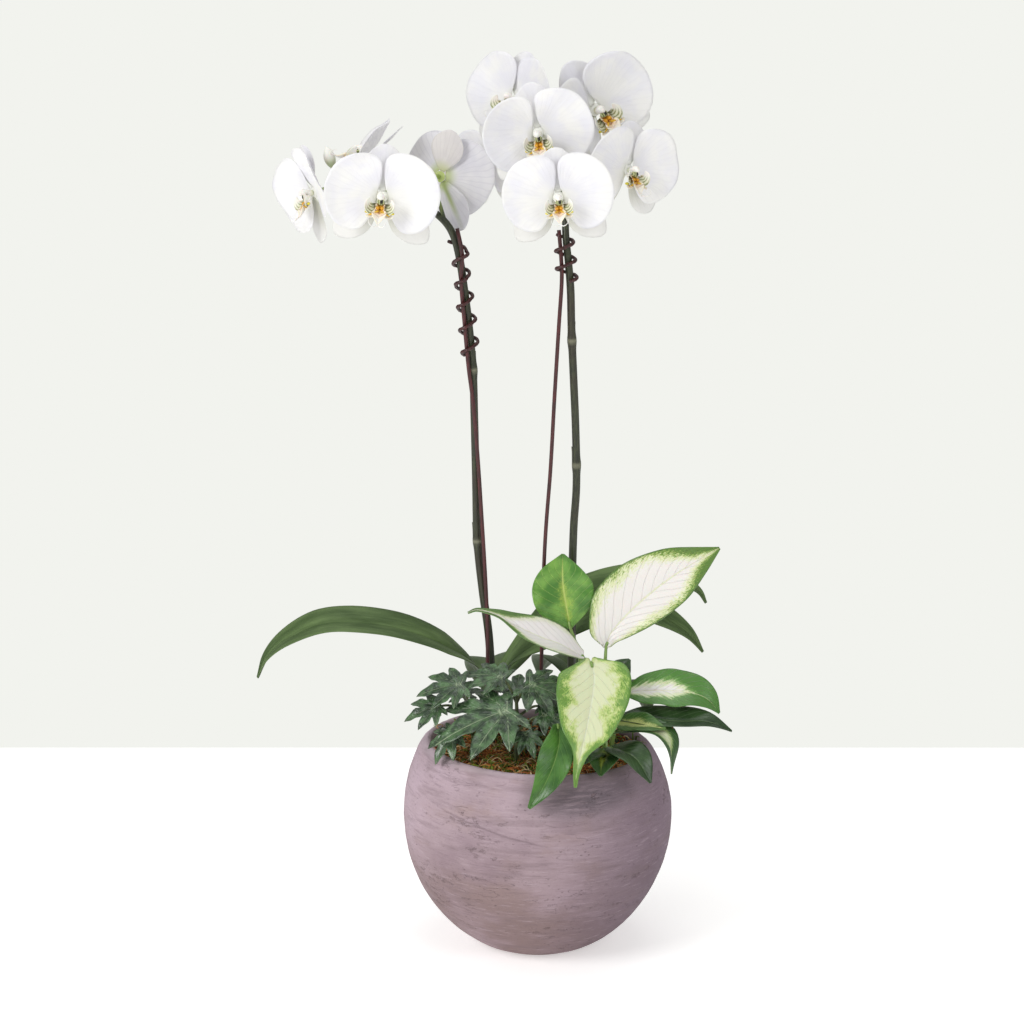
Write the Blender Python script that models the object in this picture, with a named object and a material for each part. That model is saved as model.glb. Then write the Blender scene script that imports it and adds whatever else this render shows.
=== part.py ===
"""Potted orchid: two flower spikes with foliage plants in a globe pot.

Lengths are millimetres in the text and become metres in the mesh. X points right,
Y away from the viewer, Z up. The origin is the centre of the pot's foot underside.
"""
import math
import random

import bmesh
import bpy
import numpy as np

MM = 0.001

# Pot: a globe cut off at a rim that dips a little to the right.
POT_RADIUS = 110.0
POT_WIDEST_Z = 109.0
POT_LOWER_HALF = 119.0
POT_UPPER_HALF = 110.0
POT_RIM_Z = 167.0
POT_WALL = 9.0
POT_FLOOR = 11.0
POT_SEGMENTS = 36
WIDE_HOLE_RADIUS = 4.0
RIM_SLOPE = -0.038

# Filling
SOIL_TOP = 149.0
SOIL_GAP = 0.5
MOSS_THICK = 12.0
MOSS_RELIEF = 3.5
HOLE_CLEARANCE = 0.65
HOLE_FLOOR = 120.0
STEM_FOOT = 121.0
STEM_STRAIGHT_TOP = 172.0

# Leaves and petals
LEAF_THICK = 1.3
ORCHID_LEAF_THICK = 1.6
LEAF_STALK_RADIUS = 2.0
GREEN_STALK_RADIUS = 1.8
LOBED_STALK_RADIUS = 1.8
LEAFY_STEM_RADIUS = 2.2
THIN_LEAF_THICK = 1.0
PETAL_THICK = 0.9

# Flower: sizes for scale 1
HUB_RADIUS = 4.6
HUB_BACK = -3.0
HUB_FRONT = 1.1
PETAL_LIFT = 1.6
SEPAL_LIFT = -1.5
PART_GAP = 0.4

# Spikes, stakes and ties
SPIKE_RADIUS = 3.1
SPIKE_FOOT_RADIUS = 3.6
STALK_RADIUS = 1.5
STAKE_RADIUS = 1.6
TIE_WIRE = 1.45
TIE_GAP = 0.45

for old in list(bpy.data.objects):
    bpy.data.objects.remove(old)


# Small helpers

def unit(vector):
    """Vector of length one."""
    vector = np.asarray(vector, dtype=float)
    return vector / max(np.linalg.norm(vector), 1e-9)


def smooth_curve(points, count):
    """Points at even lengths along a smooth curve through the given ones."""
    pts = np.asarray(points, dtype=float)
    ends = np.vstack([2 * pts[0] - pts[1], pts, 2 * pts[-1] - pts[-2]])
    fine = []
    for i in range(1, len(ends) - 2):
        a, b, c, d = ends[i - 1:i + 3]
        for k in range(12):
            t = k / 12.0
            fine.append(0.5 * (2 * b + (c - a) * t + (2 * a - 5 * b + 4 * c - d) * t ** 2
                               + (3 * b - a - 3 * c + d) * t ** 3))
    fine.append(pts[-1])
    fine = np.array(fine)
    steps = np.linalg.norm(np.diff(fine, axis=0), axis=1)
    length = np.concatenate([[0.0], np.cumsum(steps)])
    wanted = np.linspace(0.0, length[-1], count) if np.isscalar(count) else np.asarray(count) * length[-1]
    return np.array([[np.interp(w, length, fine[:, axis]) for axis in range(3)] for w in wanted])


def spread(values, where):
    """Straight-line values of a short list at places between 0 and 1."""
    values = np.asarray(values, dtype=float)
    at = np.linspace(0.0, 1.0, len(values))
    if values.ndim == 1:
        return np.interp(where, at, values)
    return np.array([[np.interp(w, at, values[:, axis]) for axis in range(values.shape[1])] for w in where])


def material(name, colour, roughness):
    """A plain shaded material."""
    made = bpy.data.materials.new(name)
    made.use_nodes = True
    shader = made.node_tree.nodes["Principled BSDF"]
    shader.inputs["Base Color"].default_value = (*colour, 1.0)
    shader.inputs["Roughness"].default_value = roughness
    return made


def solid(name, points, faces):
    """Mesh object from millimetre points."""
    mesh = bpy.data.meshes.new(name)
    mesh.from_pydata([tuple(float(c) * MM for c in p) for p in points], [], [tuple(f) for f in faces])
    work = bmesh.new()
    work.from_mesh(mesh)
    bmesh.ops.recalc_face_normals(work, faces=work.faces)
    if work.calc_volume() < 0:
        bmesh.ops.reverse_faces(work, faces=work.faces)
    work.to_mesh(mesh)
    work.free()
    for polygon in mesh.polygons:
        polygon.use_smooth = True
    made = bpy.data.objects.new(name, mesh)
    bpy.context.scene.collection.objects.link(made)
    return made


def boolean(base, others, operation, solver="EXACT"):
    """Join or cut a body with a group of bodies, then remove the group."""
    group = bpy.data.collections.new(base.name + "_tools")
    bpy.context.scene.collection.children.link(group)
    for other in others:
        bpy.context.scene.collection.objects.unlink(other)
        group.objects.link(other)
        other.hide_render = True
        other.display_type = "WIRE"
    step = base.modifiers.new("shape", "BOOLEAN")
    step.operation = operation
    step.operand_type = "COLLECTION"
    step.collection = group
    step.solver = solver
    bpy.context.view_layer.update()
    result = bpy.data.meshes.new_from_object(base.evaluated_get(bpy.context.evaluated_depsgraph_get()))
    base.modifiers.clear()
    base.data = result
    for other in others:
        bpy.data.objects.remove(other)
    bpy.data.collections.remove(group)
    return base


def finish(made, colour, roughness, name=None):
    """Name a body and give it its own material."""
    if name:
        made.name = name
    made.data.name = made.name
    made.data.materials.clear()
    made.data.materials.append(material(made.name + "_look", colour, roughness))
    work = bmesh.new()
    work.from_mesh(made.data)
    bmesh.ops.triangulate(work, faces=work.faces)
    work.to_mesh(made.data)
    work.free()
    for polygon in made.data.polygons:
        polygon.use_smooth = True
    return made


def hole_sides(radius):
    """Corners of a round hole: more in a wide one."""
    return 12 if radius > WIDE_HOLE_RADIUS else 8


def tube(name, points, radii, sides):
    """Round stem along a path; a short list of radii is spread over its length."""
    path = np.asarray(points, dtype=float)
    rows = len(path)
    radius = spread(radii, np.linspace(0, 1, rows)) if len(radii) != rows else np.asarray(radii, dtype=float)
    tangents = np.gradient(path, axis=0)
    across = unit(np.cross(tangents[0], (0.31, 0.95, 0.02)))
    verts = []
    for i in range(rows):
        tangent = unit(tangents[i])
        across = unit(across - np.dot(across, tangent) * tangent)
        other = np.cross(tangent, across)
        for k in range(sides):
            angle = 2 * math.pi * k / sides
            verts.append(path[i] + radius[i] * (math.cos(angle) * across + math.sin(angle) * other))
    faces = [list(range(sides))[::-1], [(rows - 1) * sides + k for k in range(sides)]]
    for i in range(rows - 1):
        for k in range(sides):
            a = i * sides + k
            b = i * sides + (k + 1) % sides
            faces.append((a, b, b + sides, a + sides))
    return solid(name, verts, faces)


def thick_grid(name, grid, thickness):
    """Closed sheet from a grid of surface points, split alike on both faces."""
    rows, cols = grid.shape[:2]
    normal = np.cross(np.gradient(grid, axis=0), np.gradient(grid, axis=1))
    normal /= np.maximum(np.linalg.norm(normal, axis=2, keepdims=True), 1e-9)
    verts = list((grid + normal * thickness / 2).reshape(-1, 3))
    verts += list((grid - normal * thickness / 2).reshape(-1, 3))
    low = rows * cols
    faces = []
    for i in range(rows - 1):
        for j in range(cols - 1):
            a = i * cols + j
            b, c, d = a + 1, a + cols + 1, a + cols
            faces += [(a, b, c), (a, c, d), (low + c, low + b, low + a), (low + d, low + c, low + a)]
    ring = [j for j in range(cols)] + [i * cols + cols - 1 for i in range(1, rows)]
    ring += [(rows - 1) * cols + j for j in range(cols - 2, -1, -1)]
    ring += [i * cols for i in range(rows - 2, 0, -1)]
    for k, a in enumerate(ring):
        b = ring[(k + 1) % len(ring)]
        faces.append((a, b, low + b))
        faces.append((a, low + b, low + a))
    return solid(name, verts, faces)


def blade_grid(points, faces_to, half_width, rows, cols, fold=0.0, curl=0.0, wave=0.0, waves=3.0):
    """Surface points of a leaf blade with a midrib, fold and waved edge.

    points: midrib. faces_to: direction of the upper face along the midrib.
    half_width: list from base to tip, or a pair of lists for the two halves.
    """
    where = 0.5 - 0.5 * np.cos(np.linspace(0.0, math.pi, rows + 1))
    where = 0.55 * where + 0.45 * np.linspace(0.0, 1.0, rows + 1)
    rib = smooth_curve(points, where)
    tangents = np.gradient(rib, axis=0)
    face = spread(np.atleast_2d(faces_to), where) if len(np.atleast_2d(faces_to)) > 1 else None
    left, right = half_width if isinstance(half_width[0], (list, tuple)) else (half_width, half_width)
    left = smooth_profile(left, where)
    right = smooth_profile(right, where)
    fold = math.radians(fold)
    curl = math.radians(curl)
    grid = np.zeros((rows + 1, 2 * cols + 1, 3))
    for i in range(rows + 1):
        tangent = unit(tangents[i])
        wanted = face[i] if face is not None else np.asarray(faces_to, dtype=float).reshape(3)
        normal = unit(wanted - np.dot(wanted, tangent) * tangent)
        side = np.cross(tangent, normal)
        for j in range(-cols, cols + 1):
            width = right[i] if j >= 0 else left[i]
            share = abs(j) / cols
            steps = np.linspace(0, share, 7)
            angle = fold + curl * (steps[:-1] + steps[1:]) / 2
            along = width * np.sum(np.cos(angle)) * share / 6
            rise = width * np.sum(np.sin(angle)) * share / 6
            ripple = wave * math.sin(2 * math.pi * waves * where[i] + (1.2 if j > 0 else 0.0))
            rise += ripple * share ** 2 * math.sin(math.pi * where[i])
            grid[i, j + cols] = rib[i] + side * along * (1 if j > 0 else -1) + normal * rise
    return grid


def smooth_profile(values, where):
    """Smooth curve through evenly spaced widths."""
    pts = [(i / (len(values) - 1), v, 0.0) for i, v in enumerate(values)]
    fine = smooth_curve(pts, 80)
    return np.interp(where, fine[:, 0], fine[:, 1])


def patch_rings(outline, height, thickness, rings, centre):
    """Top and under points of a sheet inside an outline: centre first, then ring after ring."""
    loop = [np.asarray(p, dtype=float) for p in outline]
    middle = np.asarray(centre, dtype=float)
    flat = [middle]
    for ring in range(1, rings + 1):
        flat += [middle + (p - middle) * ring / rings for p in loop]
    step = 0.2
    top = []
    under = []
    for x, y in flat:
        here = np.array(height(x, y))
        dx = (np.array(height(x + step, y)) - here) / step
        dy = (np.array(height(x, y + step)) - here) / step
        normal = unit(np.cross(dx, dy))
        top.append(here + normal * thickness / 2)
        under.append(here - normal * thickness / 2)
    return top, under


def patch_faces(size, rings, low, first, open_edge=False):
    """Triangles of such a sheet; the last outline edge stays open where asked."""
    faces = []
    for k in range(size):
        a, b = first + 1 + k, first + 1 + (k + 1) % size
        faces += [(first, a, b), (low + first, low + b, low + a)]
        for ring in range(rings - 1):
            p, q = a + ring * size, b + ring * size
            r, s = p + size, q + size
            faces += [(p, r, s), (p, s, q), (low + p, low + s, low + r), (low + p, low + q, low + s)]
        p, q = a + (rings - 1) * size, b + (rings - 1) * size
        if not (open_edge and k == size - 1):
            faces += [(p, low + p, low + q), (p, low + q, q)]
    return faces


# Pot

def rim_shift(x, z):
    """Height change of the uneven rim."""
    blend = min(max((z - POT_WIDEST_Z) / (POT_RIM_Z - POT_WIDEST_Z), 0.0), 1.0)
    return RIM_SLOPE * x * blend


def turned(name, profile, segments, slope=True):
    """Body of revolution from radius and height pairs, closed on the axis."""
    verts = []
    for radius, z in profile:
        for k in range(segments):
            angle = 2 * math.pi * k / segments
            x = radius * math.cos(angle)
            verts.append((x, radius * math.sin(angle), z + (rim_shift(x, z) if slope else 0.0)))
    rows = len(profile)
    faces = [list(range(segments))[::-1], [(rows - 1) * segments + k for k in range(segments)]]
    for i in range(rows - 1):
        for k in range(segments):
            a = i * segments + k
            b = i * segments + (k + 1) % segments
            faces.append((a, b, b + segments, a + segments))
    return solid(name, verts, faces)


def inner_radius(z):
    """Radius of the pot's inner wall."""
    half = 108.0 if z < POT_WIDEST_Z else 100.0
    return (POT_RADIUS - POT_WALL) * math.sqrt(max(1 - ((z - POT_WIDEST_Z) / half) ** 2, 0.0))


def outer_radius(z):
    """Radius of the pot's outer wall."""
    half = POT_LOWER_HALF if z < POT_WIDEST_Z else POT_UPPER_HALF
    return POT_RADIUS * math.sqrt(max(1 - ((z - POT_WIDEST_Z) / half) ** 2, 0.0))


def build_pot():
    foot = outer_radius(0.0)
    outer = [(foot - 1.2, 0.0), (foot + 0.3, 1.6)]
    outer += [(outer_radius(z), z) for z in (10, 26, 48, 76, 109, 134, 152, 165)]
    lip = [(91.6, 168.0), (89.0, 168.8), (86.6, 167.6)]
    inner = [(inner_radius(z), z) for z in (163, SOIL_TOP, 120, 84, 48, 20)]
    inner += [(inner_radius(20) - 8.0, POT_FLOOR)]
    return finish(turned("pot", outer + lip + inner, POT_SEGMENTS), (0.44, 0.34, 0.36), 0.85)


def build_filling(holes):
    """Soil body and moss layer with plain holes for every stem."""
    levels = (20, 48, 84, 120, SOIL_TOP)
    profile = [(inner_radius(20) - 9.0, POT_FLOOR + 0.4)]
    profile += [(inner_radius(z) - SOIL_GAP, z) for z in levels]
    soil = turned("growing_medium", profile, POT_SEGMENTS)
    cutters = []
    for x, y, radius in holes:
        path = [(x, y, HOLE_FLOOR), (x, y, SOIL_TOP + 40)]
        cutters.append(tube("hole", path, [radius + HOLE_CLEARANCE] * 2, sides=hole_sides(radius)))
    boolean(soil, cutters, "DIFFERENCE")
    finish(soil, (0.05, 0.035, 0.025), 0.95)

    chance = random.Random(5)
    segments = 24
    rings = (0.0, 26.0, 48.0, 68.0, 86.5)
    bottom = SOIL_TOP + 0.4
    verts = [(0, 0, bottom + MOSS_THICK + MOSS_RELIEF)]
    faces = []
    for ring, radius in enumerate(rings[1:]):
        for k in range(segments):
            angle = 2 * math.pi * k / segments
            x, y = radius * math.cos(angle), radius * math.sin(angle)
            crown = MOSS_RELIEF * (1 - (radius / rings[-1]) ** 2)
            top = bottom + MOSS_THICK + crown + chance.uniform(-1.5, 1.5)
            if ring == len(rings) - 2:
                top = bottom + MOSS_THICK - 5.5
            verts.append((x, y, top + RIM_SLOPE * x * 0.8))
    edge = 1 + (len(rings) - 2) * segments
    under = len(verts)
    for k in range(segments):
        angle = 2 * math.pi * k / segments
        x, y = 87.5 * math.cos(angle), 87.5 * math.sin(angle)
        verts.append((x, y, bottom + RIM_SLOPE * x * 0.7))
    for k in range(segments):
        b = (k + 1) % segments
        faces.append((0, 1 + k, 1 + b))
        for ring in range(len(rings) - 2):
            p, q = 1 + ring * segments + k, 1 + ring * segments + b
            faces += [(p, p + segments, q + segments), (p, q + segments, q)]
        faces += [(edge + k, under + k, under + b), (edge + k, under + b, edge + b)]
    faces.append(tuple(under + k for k in range(segments))[::-1])
    moss = solid("moss_mat", verts, faces)
    cutters = []
    for x, y, radius in holes:
        path = [(x, y, SOIL_TOP - 20), (x, y, SOIL_TOP + 60)]
        cutters.append(tube("hole", path, [radius + HOLE_CLEARANCE] * 2, sides=hole_sides(radius)))
    boolean(moss, cutters, "DIFFERENCE")
    finish(moss, (0.16, 0.14, 0.04), 1.0)


# Flowers

PETAL_OUTLINE = [(4.0, 2.3), (2.2, 9), (1.0, 17), (1.0, 27), (4.5, 34), (13, 37.5), (25, 36.5), (35, 31),
                 (42, 22), (46.5, 8), (45, -6), (38, -19), (28, -26), (17, -26), (8.5, -16), (4.5, -1.1)]
DORSAL_OUTLINE = [(1.6, 4.3), (8, 11), (14.5, 21), (14, 31), (6.5, 39), (0, 41), (-6.5, 39), (-14, 31),
                  (-14.5, 21), (-8, 11), (-1.6, 4.3)]
LATERAL_OUTLINE = [(4.3, 1.6), (12, 7.5), (26, 13.5), (38, 12.5), (47, 7), (51, 0), (47, -7), (38, -12.5),
                   (26, -13.5), (12, -7.5), (4.3, -1.6)]
LATERAL_ANGLE = -44.0


def turned_outline(outline, degrees):
    """Outline turned about the flower's centre."""
    c, s = math.cos(math.radians(degrees)), math.sin(math.radians(degrees))
    return [(x * c - y * s, x * s + y * c) for x, y in outline]


def mirrored(outline):
    """Outline for the other side, still running the same way round."""
    return [(-x, y) for x, y in outline][::-1]


def petal_surface(x, y, lift, cup, ripple, phase):
    """Point of a petal surface: level at the hub, lifted beyond it, bowl shaped for a positive cup."""
    reach = math.hypot(x, y)
    out = min(max((reach - HUB_RADIUS) / 4.0, 0.0), 1.0)
    angle = cup * reach
    shrink = math.sin(angle) / angle if abs(angle) > 1e-6 else 1.0
    rise = (1 - math.cos(angle)) / cup if abs(cup) > 1e-6 else 0.0
    rise += lift * out * out * (3 - 2 * out)
    rise += ripple * (reach / 45.0) ** 3 * math.sin(5 * math.atan2(y, x) + phase)
    return (x * shrink, y * shrink, rise)


def flower_frame(hub, azimuth, rise, roll, size):
    """Function that places flower points, and the flower's front direction."""
    azimuth, rise, roll = (math.radians(a) for a in (azimuth, rise, roll))
    front = np.array([math.sin(azimuth) * math.cos(rise), -math.cos(azimuth) * math.cos(rise),
                      math.sin(rise)])
    right = np.array([math.cos(azimuth), math.sin(azimuth), 0.0])
    top = np.cross(front, right)
    right, top = right * math.cos(roll) - top * math.sin(roll), top * math.cos(roll) + right * math.sin(roll)
    hub = np.asarray(hub, dtype=float)

    def place(p):
        return hub + size * (p[0] * right + p[1] * top + p[2] * front)

    return place, front


def flower(name, hub, azimuth, rise, roll, size=1.0, cups=(0.006, 0.006), back=0.004):
    """One moth-orchid flower in two bodies: petals with sepals, lip with column.

    azimuth: 0 looks at the viewer, 90 to the right. rise: upward tilt. roll: clockwise.
    Returns the place and direction of the stalk's end behind the flower.
    """
    place, front = flower_frame(hub, azimuth, rise, roll, size)
    phase = hub[0] * 0.7 + hub[2]
    right_petal = [PETAL_OUTLINE, (22, 3), PETAL_LIFT, cups[1], 1.5, 2]
    left_petal = [mirrored(PETAL_OUTLINE), (-22, 3), PETAL_LIFT, cups[0], 1.5, 2]
    dorsal = [DORSAL_OUTLINE, (0, 25), SEPAL_LIFT, -back, 0.8, 1]
    lateral = turned_outline(LATERAL_OUTLINE, LATERAL_ANGLE)
    middle = turned_outline([(25, 0)], LATERAL_ANGLE)[0]
    right_sepal = [lateral, middle, SEPAL_LIFT, -back, 0.8, 1]
    left_sepal = [mirrored(lateral), (-middle[0], middle[1]), SEPAL_LIFT, -back, 0.8, 1]
    top = []
    under = []
    parts = []
    order = (right_petal, dorsal, left_petal, left_sepal, right_sepal)
    for outline, centre, lift, bowl, ripple, rings in order:
        high, low = patch_rings(outline, lambda x, y: petal_surface(x, y, lift, bowl, ripple, phase),
                                PETAL_THICK, rings, centre)
        parts.append((len(top), len(outline), rings))
        top += high
        under += low
    top.append(np.array([0, 0, HUB_FRONT]))
    under.append(np.array([0, 0, HUB_BACK]))
    low = len(top)
    faces = []
    ring = []
    for first, size_of, rings in parts:
        faces += patch_faces(size_of, rings, low, first, open_edge=True)
        outer = first + 1 + (rings - 1) * size_of
        ends = sorted((outer, outer + size_of - 1), key=lambda i: math.atan2(top[i][1], top[i][0]))
        if abs(math.atan2(top[ends[0]][1], top[ends[0]][0])) > 2.5 and top[ends[0]][1] < 0 < top[ends[1]][1]:
            ends = ends[::-1]
        ring += ends
    hub_top = low - 1
    for k in range(len(ring)):
        a, b = ring[k], ring[(k + 1) % len(ring)]
        faces += [(hub_top, a, b), (low + hub_top, low + b, low + a)]
        if k % 2 == 1:
            faces += [(a, low + a, low + b), (a, low + b, b)]
    verts = [place(p) for p in top + under]
    finish(solid(name + "_petals", verts, faces), (0.86, 0.86, 0.84), 0.5)

    lip_rib = [(0, -1.0, 4.4), (0, -5.5, 8.0), (0, -9.5, 12.0), (0, -13.0, 16.0), (0, -16.0, 20.0),
               (0, -17.0, 23.5)]
    grid = blade_grid(lip_rib, (0, 1, 0.5), [1.2, 9.5, 13.0, 7.0, 8.0, 6.0, 0.8], 7, 2, fold=24, curl=40)
    lip = thick_grid(name, np.array([[place(p) for p in row] for row in grid]), 0.9 * size)
    base = HUB_FRONT + PART_GAP
    column = tube(name, [place(p) for p in ((0, 0, base), (0, 0, base + 2.0), (0, 2.2, 9.5), (0, 1.4, 13.0))],
                  [2.4 * size, 2.5 * size, 2.9 * size, 1.6 * size], 6)
    finish(boolean(column, [lip], "UNION"), (0.8, 0.62, 0.12), 0.5, name + "_lip")
    return place((0, 0, HUB_BACK - PART_GAP)), -front


FLOWERS = [
    # name, hub, azimuth, rise, roll, size, (left cup, right cup), stalk's distance from the spike's tip
    ("flower_left_1", (-120, -42, 615), -4, -8, 5, 0.98, (0.012, 0.006), 66),
    ("flower_left_2", (-176, 10, 614), -58, -12, -22, 0.94, (0.010, 0.012), 8),
    ("flower_left_3", (-134, 17, 640), -88, 42, 0, 0.92, (0.008, 0.008), 44),
    ("flower_left_4", (-77, 12, 626), 158, -4, -17, 0.92, (0.004, 0.016), 96),
    ("flower_right_1", (14, -60, 616), 0, -8, -4, 0.92, (0.004, 0.004), 82),
    ("flower_right_2", (-1, -24, 662), -3, -14, -9, 0.96, (0.014, 0.006), 70),
    ("flower_right_3", (-19, 38, 684), -40, 8, 7, 0.95, (0.006, 0.008), 0),
    ("flower_right_4", (45, 40, 676), 28, -5, -35, 1.09, (0.010, 0.010), 12),
    ("flower_right_5", (69, -12, 633), 34, -6, 5, 0.92, (0.006, 0.008), 62),
    ("flower_right_6", (-39, 34, 633), -60, 0, -6, 0.8, (0.012, 0.0), 46),
]
BUD_BASE = (-162, 22, 632)
BUD_LENGTH = 17.0
BUD_RADIUS = 4.6

LEFT_SPIKE = [(-37, 20, STEM_FOOT), (-37, 20, STEM_STRAIGHT_TOP), (-38, 19, 215), (-40, 17, 254),
              (-45, 16, 292), (-49, 15, 333), (-50, 13, 383), (-51, 10, 433), (-52, 6, 474), (-55, 2, 510),
              (-59, -2, 543), (-62, -5, 564), (-66, -6, 580), (-72, -6, 591), (-82, -3, 600), (-95, 4, 608),
              (-110, 10, 614), (-126, 14, 619), (-142, 17, 624), (-157, 19, 630)]
RIGHT_SPIKE = [(28, 27, STEM_FOOT), (28, 27, STEM_STRAIGHT_TOP), (28, 27, 246), (28, 26, 289),
               (29, 24, 340), (31, 20, 378), (30, 14, 424), (28, 8, 466), (26, 2, 506), (25, -2, 539),
               (23, -4, 562), (21, -3, 582), (21, 4, 600), (22, 12, 618), (22, 20, 636), (20, 27, 652),
               (12, 33, 666)]
# Places along a spike where its rings stand, closer where it bends.
SPIKE_PLACES = [0.0, 0.07, 0.14, 0.21, 0.28, 0.35, 0.41, 0.47, 0.53, 0.58, 0.63, 0.67, 0.705, 0.735, 0.765, 0.79,
                0.815, 0.84, 0.87, 0.90, 0.93, 0.965, 1.0]

# Stakes: free foot, then the offset from the spike at some heights.
LEFT_STAKE_FOOT = [(-42, 8, STEM_FOOT), (-42, 8, STEM_STRAIGHT_TOP), (-41, 9, 263)]
LEFT_STAKE_BESIDE = [(368, 3.6, -6.0), (440, 0.0, -6.0), (478, -3.3, -4.9), (519, -2.9, -5.2), (547, -1.4, -5.8),
                     (568, 3.0, -6.4), (588, 6.2, -6.4)]
RIGHT_STAKE_FOOT = [(2, 17, STEM_FOOT), (2, 17, STEM_STRAIGHT_TOP), (5, 14, 315)]
RIGHT_STAKE_BESIDE = [(394, -21.0, -10.0), (452, -16.0, -8.0), (510, -10.0, -5.0), (546, -6.6, -4.0),
                      (566, -5.3, -3.6), (586, -5.3, -3.6)]


def rooted(points, places):
    """Stem path: upright through its hole, then a smooth curve."""
    return np.vstack([points[0], smooth_curve(points[1:], places)])


def at_height(path, z):
    """Point of a rising path at a height."""
    for a, b in zip(path[:-1], path[1:]):
        if a[2] <= z <= b[2]:
            return a + (b - a) * (z - a[2]) / max(b[2] - a[2], 1e-6)
    return path[-1]


def stake_path(foot, beside, spike):
    """Stake that leans to its spike and runs along it."""
    points = [np.array(p, dtype=float) for p in foot]
    for z, dx, dy in beside:
        points.append(at_height(spike, z) + np.array([dx, dy, 0.0]))
    return np.vstack([points[0], points[1], smooth_curve(points[1:], len(points) + 5)[1:]])


def build_spike(name, path, nodes, flowers):
    """Spike with swollen nodes and a stalk to every flower."""
    length = np.concatenate([[0.0], np.cumsum(np.linalg.norm(np.diff(path, axis=0), axis=1))])
    radii = []
    for p, share in zip(path, length / length[-1]):
        radius = SPIKE_FOOT_RADIUS + (SPIKE_RADIUS - SPIKE_FOOT_RADIUS) * min(share / 0.5, 1.0)
        if share > 0.76:
            radius -= (share - 0.76) / 0.24 * 1.0
        if min(abs(p[2] - z) for z in nodes) < 11:
            radius += 0.45
        radii.append(radius)
    body = tube(name, path, radii, 7)
    stalks = []
    for from_tip, end, direction in flowers:
        place = max(length[-1] - from_tip, 0.0) - 0.5
        start = np.array([np.interp(place, length, path[:, axis]) for axis in range(3)])
        neck = end + direction * 3.0
        reach = np.linalg.norm(neck - start)
        lead = neck + direction * reach * 0.42
        drift = start + (lead - start) * 0.35 + np.array([0, 0, reach * 0.10])
        curve = list(bezier([start, drift, lead, neck], 5)) + [end]
        stalks.append(tube(name, curve, [STALK_RADIUS * 1.1, STALK_RADIUS, STALK_RADIUS, 1.7], 5))
    return finish(boolean(body, stalks, "UNION"), (0.10, 0.14, 0.05), 0.5, name)


def bezier(control, count):
    """Points on a cubic curve."""
    a, b, c, d = (np.asarray(p, dtype=float) for p in control)
    return np.array([a * (1 - t) ** 3 + 3 * b * t * (1 - t) ** 2 + 3 * c * t * t * (1 - t) + d * t ** 3
                     for t in np.linspace(0, 1, count)])


def build_tie(name, spike, stake, top, bottom, turns, steps=10):
    """Wire wound round spike and stake."""
    count = int(turns * steps)
    path = []
    for i in range(count + 1):
        share = i / count
        z = top + (bottom - top) * share
        a = at_height(spike, z)
        b = at_height(stake, z)
        middle = a * 0.62 + b * 0.38
        angle = 2.6 - 2 * math.pi * turns * share
        ray = np.array([math.cos(angle), math.sin(angle)])
        need = max(np.dot((a - middle)[:2], ray) + SPIKE_RADIUS + 0.25,
                   np.dot((b - middle)[:2], ray) + STAKE_RADIUS)
        reach = (need + TIE_GAP + TIE_WIRE) / math.cos(math.pi / steps)
        path.append((middle[0] + reach * ray[0], middle[1] + reach * ray[1], z))
    return finish(tube(name, path, [TIE_WIRE] * len(path), 5), (0.10, 0.03, 0.03), 0.5)


# Leaves

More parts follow.
